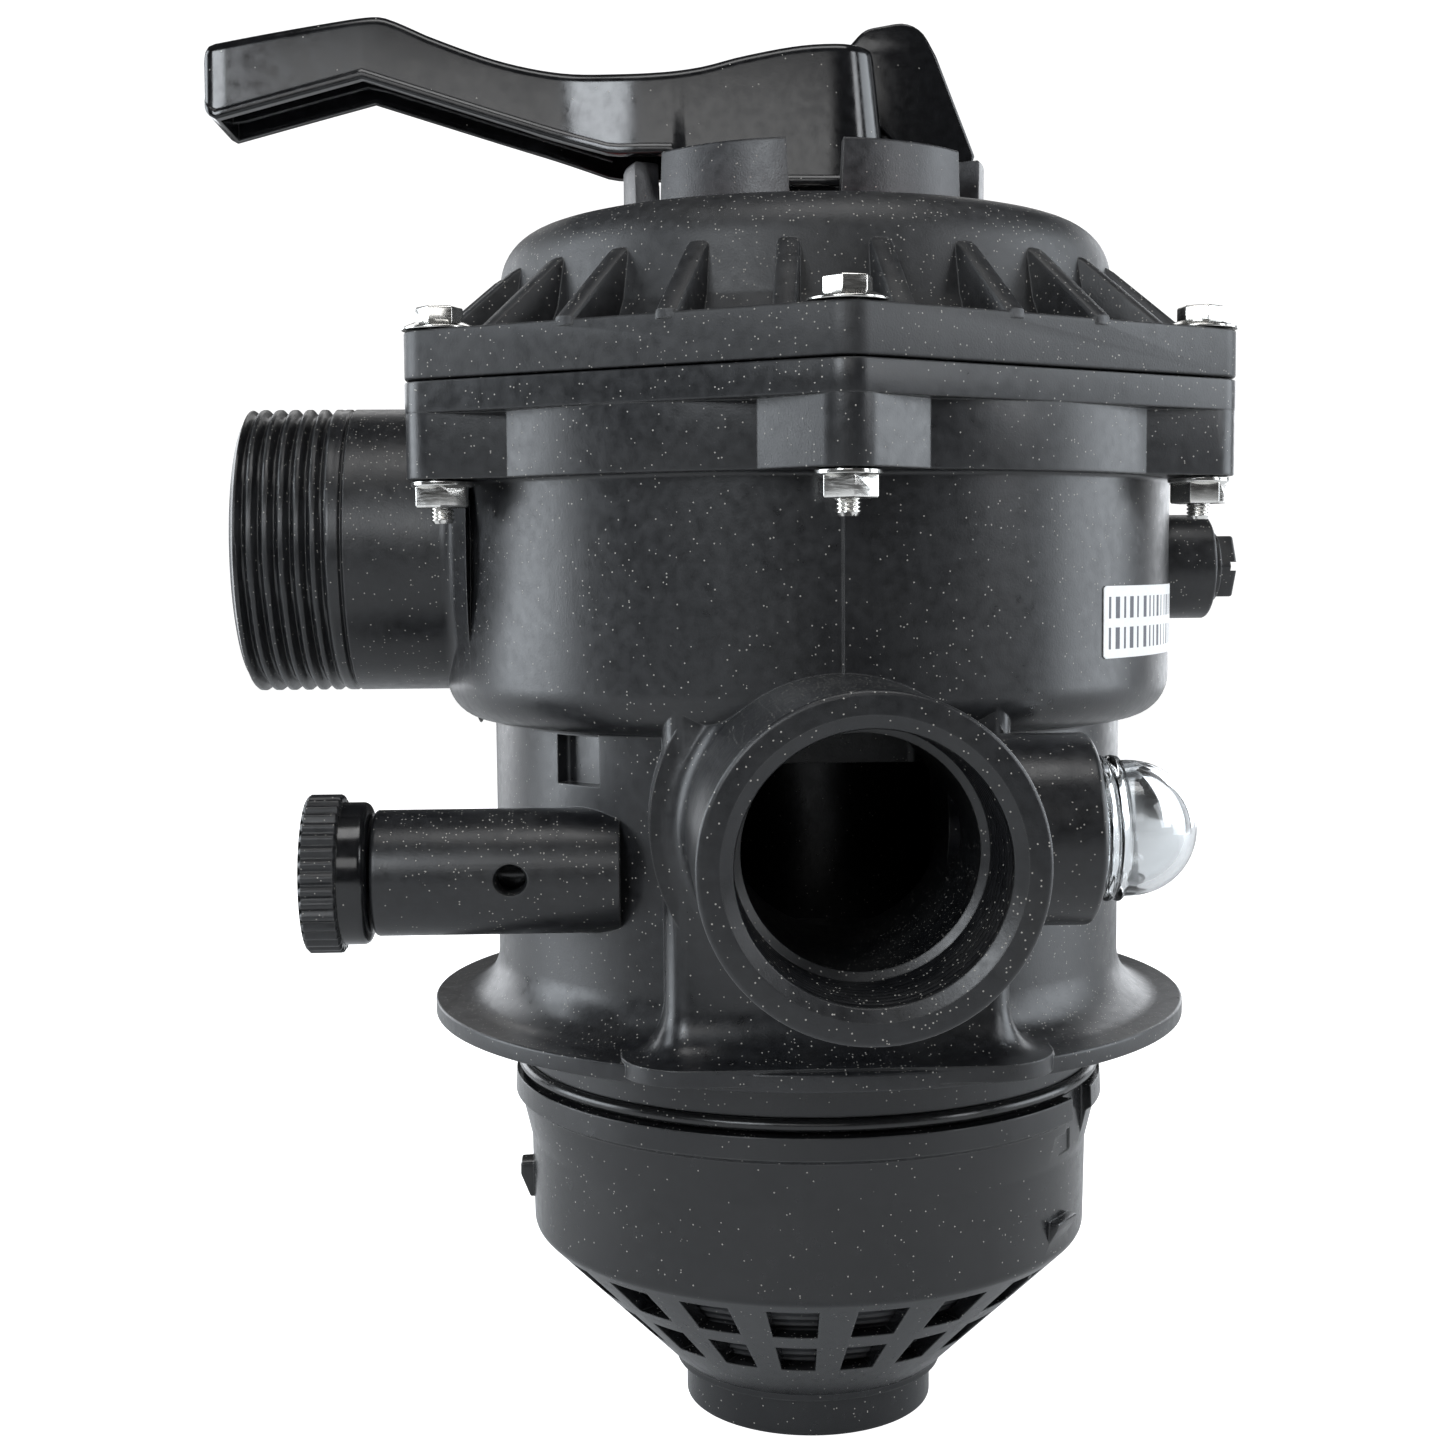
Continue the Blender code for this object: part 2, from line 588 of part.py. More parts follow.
def make_spring_set():
    low, high = SPRING_POCKET_LOW + GAP, SPRING_POCKET_LOW + GAP + MM
    seat = [(13.3 * MM, high), (19.6 * MM, high), (19.6 * MM, low), (13.3 * MM, low)]
    finish(turned("spring_seat", seat, PARTS, steps=SMALL_STEPS), steel("spring_seat"))
    top = HUB_LOW - GAP
    washer = [(13.6 * MM, top), (18.8 * MM, top), (18.8 * MM, top - 1.2 * MM),
              (13.6 * MM, top - 1.2 * MM)]
    finish(turned("spring_washer", washer, PARTS, steps=SMALL_STEPS), steel("spring_washer"))
    start, end = high + GAP + SPRING_WIRE_R, top - 1.2 * MM - GAP - SPRING_WIRE_R
    curve = bpy.data.curves.new("rotor_spring", "CURVE")
    curve.dimensions = "3D"
    curve.bevel_depth = SPRING_WIRE_R
    curve.bevel_resolution = 1
    curve.use_fill_caps = True
    count = round(SPRING_TURNS * 12)
    spline = curve.splines.new("POLY")
    spline.points.add(count)
    for i, point in enumerate(spline.points):
        turn = math.tau * SPRING_TURNS * i / count
        point.co = (SPRING_R * math.cos(turn), SPRING_R * math.sin(turn),
                    start + (end - start) * i / count, 1.0)
    spring = bpy.data.objects.new("rotor_spring", curve)
    PARTS.objects.link(spring)
    curve.materials.append(steel("rotor_spring"))


def make_spider_gasket():
    """A rubber wheel on the port plate: hub ring, rim and six spokes between the openings."""
    low, high = PLATE_TOP + GAP, ROTOR_LOW - GAP
    hub = [(29 * MM, high), (33 * MM, high), (33 * MM, low), (29 * MM, low)]
    gasket = turned("spider_gasket", hub, PARTS)
    rim = turned("gasket_rim", [(64 * MM, high), (64 * MM, low), (60 * MM, low), (60 * MM, high)],
                 CUTTERS)
    spokes = []
    for index in range(POSITIONS):
        turn = Matrix.Rotation(math.radians(30 + 60 * index), 4, "Z")
        spokes.append(box(f"gasket_spoke_{index}", (31 * MM, -1.5 * MM, low), (62 * MM, 1.5 * MM, high),
                          CUTTERS, matrix=turn))
    combine(gasket, "UNION", [rim] + spokes)
    finish(gasket, rubber("spider_gasket"))


def make_body_seals():
    middle = (SEAM + SEAL_REBATE_LOW) / 2
    finish(torus("cover_o_ring", 80.75 * MM, 1.75 * MM, PARTS, along(Matrix.Identity(4), z=middle)),
           rubber("cover_o_ring"))
    middle = (GROOVE_TOP + GROOVE_LOW) / 2
    finish(torus("neck_o_ring", 67.1 * MM, 1.4 * MM, PARTS, along(Matrix.Identity(4), z=middle)),
           rubber("neck_o_ring"))


# ---------------------------------------------------------------- lever


def lever_outline(inset=0.0):
    """The lever's side outline in X and Z, grip towards -X. inset is taken off its top."""
    top = [(-134.2, 218.6), (-120, 222), (-104, 225), (-97, 225.4), (-91, 224), (-82, 220.2),
           (-69, 215.8)]
    top += [(-55, 213), (-42, 212.2), (-32, 212.6), (-23, 214.4), (-14, 217), (-2, 219.2), (10, 219.4),
            (17, 218.2)]
    low = [(18, 200), (18.4, 187.5), (-28, 187.5), (-29.3, 191), (-30.5, 194.4), (-44, 194.6),
           (-70, 202.6)]
    low += [(-99, 211.4), (-115, 208.4), (-131.5, 202.4), (-134.4, 206)]
    return [(x * MM, z * MM - inset) for x, z in top], [(x * MM, z * MM) for x, z in low]


def make_lever():
    across = Matrix.Rotation(math.radians(90), 4, "X")
    top, low = lever_outline()
    lever = prism("handle", [top + low], -LEVER_HALF, LEVER_HALF, PARTS, across)
    head = [(-36 * MM, 213.4 * MM)] + [p for p in top if p[0] > -33 * MM] + low[:5] + [(-35 * MM,
                                                                                        194.5 * MM)]
    head_block = prism("lever_head", [head], -HEAD_HALF, HEAD_HALF, CUTTERS, across)
    tab = [(6, 216), (10, 221.5), (17, 224.6), (23, 225), (28.5, 221.5), (38.8, 195.6), (38.2, 194.2),
           (31, 194.2), (29, 190), (12, 190)]
    tab_block = prism("lever_tab", [[(x * MM, z * MM) for x, z in tab]], -7 * MM, 7 * MM, CUTTERS, across)
    roof, _ = lever_outline(LEVER_WALL)
    inside = [p for p in roof if -131 * MM < p[0] < 14.3 * MM] + [(14.3 * MM, 216 * MM),
                                                                  (14.3 * MM, 180 * MM),
                                                                  (-131 * MM, 180 * MM)]
    grip_half = LEVER_HALF - LEVER_WALL
    channel = prism("lever_channel", [inside], -grip_half, grip_half, CUTTERS, across)
    head_low, head_high = (-31 * MM, -HEAD_HALF + HEAD_WALL, 180 * MM), (14.3 * MM,
                                                                         HEAD_HALF - HEAD_WALL, 210 * MM)
    head_channel = box("lever_head_channel", head_low, head_high, CUTTERS)
    pin_hole = rod("lever_pin_hole", PIN_HOLE_R, -25 * MM, 25 * MM, CUTTERS, along(UP_Y, z=PIN_Z), 16)
    combine(lever, "UNION", [head_block, tab_block])
    combine(lever, "DIFFERENCE", [channel, head_channel, pin_hole])
    move_origin(lever, Vector((0, 0, PIN_Z)))
    finish(lever, black("handle"))
    pin = rod("handle_pin", PIN_R, -17.2 * MM, 17.2 * MM, PARTS, along(UP_Y, z=PIN_Z), 16)
    finish(pin, steel("handle_pin"))
    low, high = HUB_TOP + GAP, HUB_TOP + 1.6 * MM
    ring = [(13.5 * MM, high), (18.6 * MM, high), (18.6 * MM, low), (13.5 * MM, low)]
    finish(turned("handle_washer", ring, PARTS, steps=SMALL_STEPS), steel("handle_washer"))


def move_origin(obj, point):
    """Puts the object's origin at a point, with its mesh where it was."""
    shift = Matrix.Translation(point)
    obj.data.transform(shift.inverted() @ obj.matrix_world)
    obj.matrix_world = shift


# ---------------------------------------------------------------- fasteners


def hexagonal(radius, turn=0.0):
    return [(radius * math.cos(math.tau * i / 6 + turn),
             radius * math.sin(math.tau * i / 6 + turn)) for i in range(6)]


def make_fasteners():
    """M5 flange bolts through both flanges, each with a flange nut under the body's skirt."""
    head_low = COVER_FLANGE_TOP + GAP
    nut_top = SKIRT_LOW - GAP
    for index, angle in enumerate(around(6)):
        x, y = at_angle(BOLT_CIRCLE_R, angle)
        matrix = along(Matrix.Rotation(math.radians(12 + 23 * index), 4, "Z"), x, y)
        profile = [(0, head_low + 1.8 * MM), (4.8 * MM, head_low + 1.6 * MM),
                   (7.9 * MM, head_low + 0.6 * MM)]
        profile += [(7.9 * MM, head_low), (2.5 * MM, head_low), (2.5 * MM, 112.6 * MM), (0, 112.2 * MM)]
        bolt = turned(f"bolt_{index + 1}", profile, PARTS, matrix, 12, False)
        head = prism(f"bolt_head_{index + 1}", [hexagonal(4.6 * MM)], head_low + MM, head_low + 4.9 * MM,
                     CUTTERS, matrix)
        finish(combine(bolt, "UNION", [head]), steel(f"bolt_{index + 1}"))
        flange = [(6.5 * MM, nut_top), (6.5 * MM, nut_top - 0.9 * MM), (5.2 * MM, nut_top - 1.5 * MM)]
        flange += [(3 * MM, nut_top - 1.5 * MM), (3 * MM, nut_top)]
        nut = turned(f"nut_{index + 1}", flange, PARTS, matrix, 12)
        body = prism(f"nut_body_{index + 1}", [hexagonal(5.6 * MM, 0.5)], nut_top - 5.5 * MM,
                     nut_top - 0.8 * MM, CUTTERS, matrix)
        hole = rod(f"nut_hole_{index + 1}", 2.8 * MM, nut_top - 7 * MM, nut_top + MM, CUTTERS, matrix, 12)
        finish(combine(combine(nut, "UNION", [body]), "DIFFERENCE", [hole]), steel(f"nut_{index + 1}"))


# ---------------------------------------------------------------- side fittings


def make_sight_glass():
    matrix = along(UP_X, y=GLASS_Y, z=PORT_Z)
    inner = GLASS_BOSS_END - 6.8 * MM
    outer_dome = arc(0, 56.4 * MM, 13.2 * MM, 90, 0, 4)
    inner_dome = arc(0, 56.4 * MM, 11.2 * MM, 0, 90, 3)
    profile = outer_dome + [(13.2 * MM, 54 * MM), (14.4 * MM, 53.4 * MM), (14.4 * MM, 52 * MM),
                            (13.4 * MM, 51.4 * MM)]
    profile += [(14.4 * MM, 50.8 * MM), (14.4 * MM, 48.6 * MM), (12.2 * MM, 48.6 * MM),
                (12.2 * MM, inner), (10 * MM, inner)]
    profile += [(10 * MM, 50 * MM)] + inner_dome
    glass = turned("sight_glass", profile, PARTS, matrix, SMALL_STEPS, False)
    finish(glass, material("sight_glass", (0.92, 0.96, 0.97), 0.05, alpha=0.35))
    ring = [(12.2 * MM, 41.1 * MM), (12.2 * MM, 40.3 * MM), (8 * MM, 40.3 * MM), (8 * MM, 41.1 * MM)]
    finish(turned("sight_glass_gasket", ring, PARTS, matrix, SMALL_STEPS), rubber("sight_glass_gasket"))


def make_gauge_plug():
    matrix = along(UP_X, z=GAUGE_Z)
    face = GAUGE_END + GAP
    profile = [(0, face + 1.6 * MM), (8 * MM, face + 1.6 * MM), (8 * MM, face), (5.5 * MM, face),
               (5.5 * MM, 82 * MM), (0, 82 * MM)]
    plug = turned("gauge_plug", profile, PARTS, matrix, 16, False)
    hexagon = prism("gauge_plug_hexagon", [hexagonal(8.2 * MM, math.pi / 2)], face + 0.8 * MM,
                    face + 5.5 * MM, CUTTERS, matrix)
    groove = turned("gauge_plug_groove", [(6 * MM, 90 * MM), (6 * MM, 87 * MM), (4.2 * MM, 87 * MM),
                                          (4.2 * MM, 90 * MM)], CUTTERS, matrix, 16)
    combine(plug, "UNION", [hexagon])
    combine(plug, "DIFFERENCE", [groove])
    finish(plug, black("gauge_plug"))
    ring = torus("gauge_plug_o_ring", 5.0 * MM, 0.65 * MM, PARTS, along(UP_X, 88.5 * MM, 0, GAUGE_Z), 16)
    finish(ring, rubber("gauge_plug_o_ring"))


def make_relief_knob():
    """A knurled knob on a stem that seals the vent bore."""
    matrix = along(DOWN_X, y=RELIEF_Y, z=RELIEF_Z)
    collar_low, rim_low, rim_top = 95.5 * MM, 101.4 * MM, 108.9 * MM
    teeth = 18
    outline = []
    for i in range(teeth * 2):
        radius = (16.6 if i % 2 else 15.8) * MM
        angle = math.tau * i / (teeth * 2)
        outline.append((radius * math.cos(angle), radius * math.sin(angle)))
    knob = prism("relief_knob", [outline], rim_low, rim_top, PARTS, matrix)
    stem = [(0, rim_low + MM), (14.8 * MM, rim_low + MM), (14.8 * MM, collar_low + 1.5 * MM),
            (13.3 * MM, collar_low)]
    stem += [(4.9 * MM, collar_low), (4.9 * MM, 62 * MM), (3.7 * MM, 62 * MM), (3.7 * MM, 59 * MM),
             (4.9 * MM, 59 * MM)]
    stem += [(4.9 * MM, 56 * MM), (0, 56 * MM)]
    combine(knob, "UNION", [turned("relief_stem", stem, CUTTERS, matrix, 20, False)])
    finish(knob, black("relief_knob"))
    ring = torus("relief_o_ring", 4.6 * MM, 0.65 * MM, PARTS,
                 along(DOWN_X, -60.5 * MM, RELIEF_Y, RELIEF_Z), 16)
    finish(ring, rubber("relief_o_ring"))


def make_serial_label():
    inner, outer = BOWL_R + GAP, BOWL_R + 2 * GAP
    outline = sector(inner, outer, -90 + 60, 18, 6)
    label = prism("serial_label", [outline], 83.3 * MM, 98.3 * MM, PARTS)
    finish(label, material("serial_label", (0.85, 0.85, 0.83), 0.4))


# ---------------------------------------------------------------- strainer


def window_cutter(name, inner, outer, low, high):
    outlines = []
    for index in range(WINDOWS):
        outlines.append(sector(inner, outer, -98 + 360 / WINDOWS * index, WINDOW_HALF_ANGLE, 1))
    return prism(name, outlines, low, high, CUTTERS)


def make_strainer():
    wall = 2.4 * MM
    outer = [(69.2 * MM, STRAINER_TOP), (69.2 * MM, -19.6 * MM), (68 * MM, -19.9 * MM),
             (STRAINER_R, -32 * MM)]
    outer += [(STRAINER_R, CONE_TOP), (31.5 * MM, CONE_LOW), (31.5 * MM, -86 * MM)]
    bore = SOCKET_R + 0.8 * MM
    inner = [(bore, -86 * MM), (bore, -80.5 * MM), (STRAINER_R - wall, CONE_TOP + 1.2 * MM),
             (STRAINER_R - wall, -34 * MM), (64.6 * MM, STRAINER_TOP)]
    basket = turned("strainer_basket", outer + inner, PARTS, steps=WINDOWS)
    rows = [
        window_cutter("upper_windows", 46 * MM, 75 * MM, -62.6 * MM, -53.6 * MM),
        window_cutter("lower_windows", 36 * MM, 60 * MM, -74.6 * MM, -66.4 * MM),
    ]
    combine(basket, "DIFFERENCE", rows)
    latch_low, latch_high = (-68.4 * MM, -4 * MM, -45 * MM), (-64 * MM, 4 * MM, -37.6 * MM)
    combine(basket, "UNION", [box("strainer_latch", latch_low, latch_high, CUTTERS, 0.8 * MM)])
    finish(basket, black("strainer_basket"))
    screen = [(59.5 * MM, -50.5 * MM), (33.4 * MM, -77 * MM), (31.8 * MM, -77 * MM),
              (57.9 * MM, -50.5 * MM)]
    finish(turned("strainer_screen", screen, PARTS, steps=WINDOWS), black("strainer_screen"))


def make_pipe_socket():
    """The bottom socket for the filter's centre pipe."""
    profile = [(23.6 * MM, -50 * MM), (23.6 * MM, PIPE_END - GAP), (SOCKET_R, PIPE_END - GAP),
               (SOCKET_R, SOCKET_END)]
    profile += [(SOCKET_BORE_R, SOCKET_END), (SOCKET_BORE_R, -70 * MM), (20.5 * MM, -70 * MM),
                (20.5 * MM, -50 * MM)]
    finish(turned("pipe_socket", profile, PARTS), black("pipe_socket"))


clear_scene()
PARTS = new_collection("multiport_valve")
CUTTERS = new_collection("cutters")
make_valve_body()
make_valve_cover()
make_position_label()
make_rotor()
make_spring_set()
make_spider_gasket()
make_body_seals()
make_lever()
make_fasteners()
make_sight_glass()
make_gauge_plug()
make_relief_knob()
make_serial_label()
make_strainer()
make_pipe_socket()
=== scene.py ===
"""The multiport valve's looks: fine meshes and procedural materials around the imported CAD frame.

Shapes are worked out in millimetres in the row frame (+Z up, origin on the valve's axis at the
underside of the clamp disc) and become metres when an object is made.
"""

import math

import bmesh
import bpy
from mathutils import Matrix, Vector


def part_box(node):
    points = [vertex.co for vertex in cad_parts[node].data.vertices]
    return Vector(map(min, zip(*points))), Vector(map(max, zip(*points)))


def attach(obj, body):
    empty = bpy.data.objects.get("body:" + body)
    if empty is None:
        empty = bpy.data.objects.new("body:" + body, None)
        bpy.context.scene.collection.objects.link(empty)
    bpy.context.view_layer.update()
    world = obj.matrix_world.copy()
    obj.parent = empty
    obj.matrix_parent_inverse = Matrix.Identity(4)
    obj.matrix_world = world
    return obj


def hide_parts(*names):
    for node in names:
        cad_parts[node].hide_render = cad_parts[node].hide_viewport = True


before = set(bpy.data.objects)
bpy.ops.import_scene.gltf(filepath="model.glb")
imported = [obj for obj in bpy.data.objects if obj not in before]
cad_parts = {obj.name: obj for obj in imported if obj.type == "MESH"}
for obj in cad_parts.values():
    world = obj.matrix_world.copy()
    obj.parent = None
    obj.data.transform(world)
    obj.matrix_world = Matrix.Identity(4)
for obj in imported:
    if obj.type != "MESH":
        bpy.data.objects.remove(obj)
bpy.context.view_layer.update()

MM = 0.001
TAU = math.tau
BODY_LOW, BODY_HIGH = (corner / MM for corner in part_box("valve_body"))
COVER_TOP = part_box("valve_cover")[1].z / MM
SOCKET_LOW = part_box("pipe_socket")[0].z / MM

# Valve body
DISC_R = 87.5
NECK_R = 72.6
BOWL_R = 83.5
BOWL_LOW = 68.6
SKIRT_LOW = 121.3
FLANGE_LOW = 134.8
SEAM = 141.4
CORNER_CIRCLE = 92.6
CORNER_R = 7.4
PORT_END = BODY_HIGH.y
PORT_Z = 51.0
PORT_R = 30.9
PUMP_END = -BODY_LOW.x
PUMP_Z = 107.2
PUMP_R = 32.3
PANEL_HALF = 35.0
PANEL_FACE = 76.5
RELIEF_Y = -51.0
RELIEF_Z = 39.3
GLASS_Y = -83.0
GAUGE_Z = 102.0

# Cover
COVER_LOW = SEAM + 0.35
FLANGE_TOP = 151.8
DOME_TOP = 178.6
RING_R = 41.5
RING_BORE = 35.5
RIBS = 24

# Studio, in metres: where each softbox stands, its width, height, power in watts and colour
LIGHT_AIM = (0.0, 0.0, 0.07)
SOFTBOXES = (
    ("left_box", (-1.0, 0.1, 0.3), 0.6, 1.0, 11.0, (0.88, 0.94, 1.0)),
    ("left_front_box", (-0.68, -1.15, 0.62), 0.45, 0.5, 8.0, (0.9, 0.95, 1.0)),
    ("left_rear_box", (-0.8, 1.05, 0.25), 0.6, 0.9, 5.0, (0.93, 0.96, 1.0)),
    ("right_box", (1.0, 0.0, 0.26), 0.6, 1.0, 8.5, (0.88, 0.94, 1.0)),
    ("right_front_box", (0.85, -0.6, 0.45), 0.2, 0.7, 3.0, (0.93, 0.96, 1.0)),
    ("right_rear_box", (0.8, 1.05, 0.25), 0.6, 0.9, 5.0, (0.93, 0.96, 1.0)),
    ("top_box", (0.05, -0.3, 1.2), 0.8, 0.4, 4.0, (1.0, 1.0, 1.0)),
    ("back_box", (0.0, 1.4, 0.9), 1.2, 0.4, 2.5, (1.0, 1.0, 1.0)),
    ("front_box", (-0.1, -1.3, 0.62), 0.6, 0.35, 1.6, (1.0, 1.0, 1.0)),
)
FLOOR_REACH = 6.0
FLOOR_GAP = 0.0002
WORLD_HIDDEN = 0.05
WORLD_SEEN = 1.1

# ---------------------------------------------------------------- materials


class Nodes:
    """Short names for building one material's node tree."""

    def __init__(self, name):
        self.material = bpy.data.materials.new(name)
        self.material.use_nodes = True
        self.tree = self.material.node_tree
        self.shader = self.tree.nodes["Principled BSDF"]
        self.place = self.add("ShaderNodeTexCoord").outputs["Object"]

    def add(self, kind, **inputs):
        made = self.tree.nodes.new(kind)
        for key, value in inputs.items():
            self.put(made.inputs[key.replace("_", " ")], value)
        return made

    def put(self, socket, value):
        if isinstance(value, bpy.types.NodeSocket):
            self.tree.links.new(value, socket)
        else:
            socket.default_value = value

    def noise(self, scale, detail=2.0, place=None):
        made = self.add("ShaderNodeTexNoise", Scale=scale, Detail=detail)
        self.put(made.inputs["Vector"], place or self.place)
        return made.outputs["Fac"]

    def math(self, operation, a, b=0.0):
        made = self.tree.nodes.new("ShaderNodeMath")
        made.operation = operation
        self.put(made.inputs[0], a)
        self.put(made.inputs[1], b)
        return made.outputs[0]

    def ramp(self, value, low, high, to_low=0.0, to_high=1.0):
        made = self.tree.nodes.new("ShaderNodeMapRange")
        self.put(made.inputs["Value"], value)
        for key, number in (("From Min", low), ("From Max", high), ("To Min", to_low),
                            ("To Max", to_high)):
            made.inputs[key].default_value = number
        return made.outputs["Result"]

    def mix(self, factor, a, b):
        made = self.tree.nodes.new("ShaderNodeMix")
        made.data_type = "RGBA"
        self.put(made.inputs[0], factor)
        self.put(made.inputs[6], a if isinstance(a, bpy.types.NodeSocket) else (*a, 1.0))
        self.put(made.inputs[7], b if isinstance(b, bpy.types.NodeSocket) else (*b, 1.0))
        return made.outputs[2]

    def set(self, **inputs):
        for key, value in inputs.items():
            self.put(self.shader.inputs[key.replace("_", " ")], value)


def moulded(name, dark, light, rough, grain, dust, wear=0.5, edge=0.45):
    """Moulded plastic: mottled tone, fine grain, pale specks of dust and worn, rounded edges."""
    n = Nodes(name)
    patches = n.noise(22.0, 3.0)
    mottle = n.noise(420.0, 3.0)
    fine = n.noise(2300.0, 2.0)
    colour = n.mix(n.ramp(mottle, 0.3, 0.7), dark, light)
    rounded_normal = n.add("ShaderNodeBevel")
    rounded_normal.samples = 4
    rounded_normal.inputs["Radius"].default_value = edge * MM
    geometry = n.add("ShaderNodeNewGeometry")
    across = n.tree.nodes.new("ShaderNodeVectorMath")
    across.operation = "DOT_PRODUCT"
    n.put(across.inputs[0], rounded_normal.outputs[0])
    n.put(across.inputs[1], geometry.outputs["Normal"])
    rim = n.ramp(across.outputs["Value"], 0.985, 0.86)
    rim = n.math("MULTIPLY", rim, n.ramp(n.noise(160.0, 4.0), 0.35, 0.65, 0.15, wear))
    colour = n.mix(rim, colour, (0.16, 0.16, 0.155))
    up = n.tree.nodes.new("ShaderNodeSeparateXYZ")
    n.put(up.inputs[0], geometry.outputs["Normal"])
    lying = n.ramp(up.outputs["Z"], -0.1, 0.9, 0.55, 1.5)
    density = n.math("MULTIPLY", n.ramp(patches, 0.35, 0.7, 0.25, 1.0), lying)
    specks = 0.0
    for scale, size, share in ((1500.0, 0.25, 0.74), (850.0, 0.14, 0.82), (330.0, 0.06, 0.86)):
        cells = n.add("ShaderNodeTexVoronoi", Scale=scale)
        n.put(cells.inputs["Vector"], n.place)
        picked = n.tree.nodes.new("ShaderNodeSeparateColor")
        n.put(picked.inputs[0], cells.outputs["Color"])
        limit = n.math("SUBTRACT", 1.0, n.math("MULTIPLY", density, (1.0 - share) * dust))
        chosen = n.math("GREATER_THAN", picked.outputs[0], limit)
        dot = n.math("LESS_THAN", cells.outputs["Distance"], size)
        specks = n.math("MAXIMUM", specks, n.math("MULTIPLY", dot, chosen))
    colour = n.mix(n.math("MULTIPLY", specks, 0.7), colour, (0.46, 0.44, 0.40))
    haze = n.math("MULTIPLY", n.ramp(n.noise(60.0, 5.0), 0.45, 0.8),
                  n.math("MULTIPLY", density, 0.07 * dust))
    colour = n.mix(haze, colour, (0.3, 0.29, 0.27))
    roughness = n.math("ADD", n.ramp(mottle, 0.25, 0.75, rough - 0.05, rough + 0.06),
                       n.math("MULTIPLY", specks, 0.3))
    roughness = n.math("ADD", roughness, n.ramp(patches, 0.3, 0.7, -0.03, 0.04))
    height = n.math("ADD", n.math("MULTIPLY", fine, 0.7), n.math("MULTIPLY", mottle, 0.6))
    height = n.math("ADD", height, n.math("MULTIPLY", specks, 0.8))
    bump = n.add("ShaderNodeBump", Strength=grain, Distance=0.06 * MM, Height=height)
    n.put(bump.inputs["Normal"], rounded_normal.outputs[0])
    n.set(Base_Color=colour, Roughness=roughness, Normal=bump.outputs[0])
    n.shader.inputs["IOR"].default_value = 1.54
    return n.material


def metal(name, tone, rough):
    """Bright stainless steel with faint tool marks and a few dull spots."""
    n = Nodes(name)
    stretched = n.add("ShaderNodeMapping")
    stretched.inputs["Scale"].default_value = (400.0, 400.0, 3000.0)
    n.put(stretched.inputs["Vector"], n.place)
    marks = n.noise(1.0, 3.0, stretched.outputs[0])
    spots = n.noise(500.0, 3.0)
    colour = n.mix(n.ramp(spots, 0.45, 0.75, 0.0, 0.5), tone, tuple(0.62 * part for part in tone))
    n.set(Base_Color=colour, Roughness=n.ramp(marks, 0.3, 0.7, rough - 0.06, rough + 0.1))
    n.shader.inputs["Metallic"].default_value = 1.0
    bump = n.add("ShaderNodeBump", Strength=0.12, Distance=0.05 * MM, Height=marks)
    n.put(n.shader.inputs["Normal"], bump.outputs[0])
    return n.material


def printed(name, tone, rough=0.38):
    """Ink or film on a label: nearly even, with slight print mottle."""
    n = Nodes(name)
    mottle = n.noise(900.0, 3.0)
    stains = n.noise(90.0, 3.0)
    colour = n.mix(n.ramp(mottle, 0.3, 0.7, 0.0, 0.35), tone, tuple(0.85 * part for part in tone))
    colour = n.mix(n.ramp(stains, 0.6, 0.85, 0.0, 0.25), colour, tuple(0.7 * part for part in tone))
    n.set(Base_Color=colour, Roughness=n.ramp(mottle, 0.3, 0.7, rough - 0.04, rough + 0.06))
    return n.material


def clear_plastic(name):
    """Clear moulded plastic with faint flow marks."""
    n = Nodes(name)
    flow = n.noise(70.0, 2.0)
    n.set(Base_Color=n.mix(flow, (0.93, 0.96, 0.97), (0.98, 0.99, 1.0)))
    n.set(Roughness=n.ramp(flow, 0.3, 0.7, 0.015, 0.06))
    n.shader.inputs["Transmission Weight"].default_value = 1.0
    n.shader.inputs["IOR"].default_value = 1.49
    bump = n.add("ShaderNodeBump", Strength=0.15, Distance=0.4 * MM, Height=flow)
    n.put(n.shader.inputs["Normal"], bump.outputs[0])
    return n.material


SATIN = moulded("satin_black", (0.0065, 0.0068, 0.0078), (0.0125, 0.013, 0.0147), 0.33, 0.5, 0.9)
MATT = moulded("matt_black", (0.0095, 0.0098, 0.0108), (0.019, 0.0193, 0.0208), 0.46, 0.9, 1.1)
SPARKLE = moulded("sparkle_black", (0.010, 0.0103, 0.0115), (0.028, 0.0285, 0.031), 0.38, 1.0, 0.5)
GLOSS = moulded("gloss_black", (0.0045, 0.0046, 0.0052), (0.0075, 0.0078, 0.0088), 0.15, 0.10, 0.06, 0.35)
STRAINER = moulded("strainer_black", (0.006, 0.0062, 0.007), (0.0095, 0.0098, 0.0108), 0.22, 0.12, 0.5)
INNER = moulded("inner_grey", (0.022, 0.0225, 0.025), (0.042, 0.043, 0.046), 0.5, 0.4, 0.3)
RUBBER = moulded("black_rubber", (0.006, 0.006, 0.0063), (0.0095, 0.0095, 0.0099), 0.22, 0.12, 0.3, 0.2)
STEEL = metal("stainless_steel", (0.80, 0.79, 0.76), 0.16)
SPRING_STEEL = metal("spring_steel", (0.62, 0.61, 0.58), 0.24)
RED = printed("red_film", (0.55, 0.022, 0.025))
INK = printed("white_ink", (0.82, 0.82, 0.80))
WHITE = printed("white_film", (0.86, 0.86, 0.85), 0.45)
GREY_INK = printed("grey_ink", (0.10, 0.10, 0.12), 0.5)
CLEAR = clear_plastic("clear_plastic")

# ---------------------------------------------------------------- shape tools

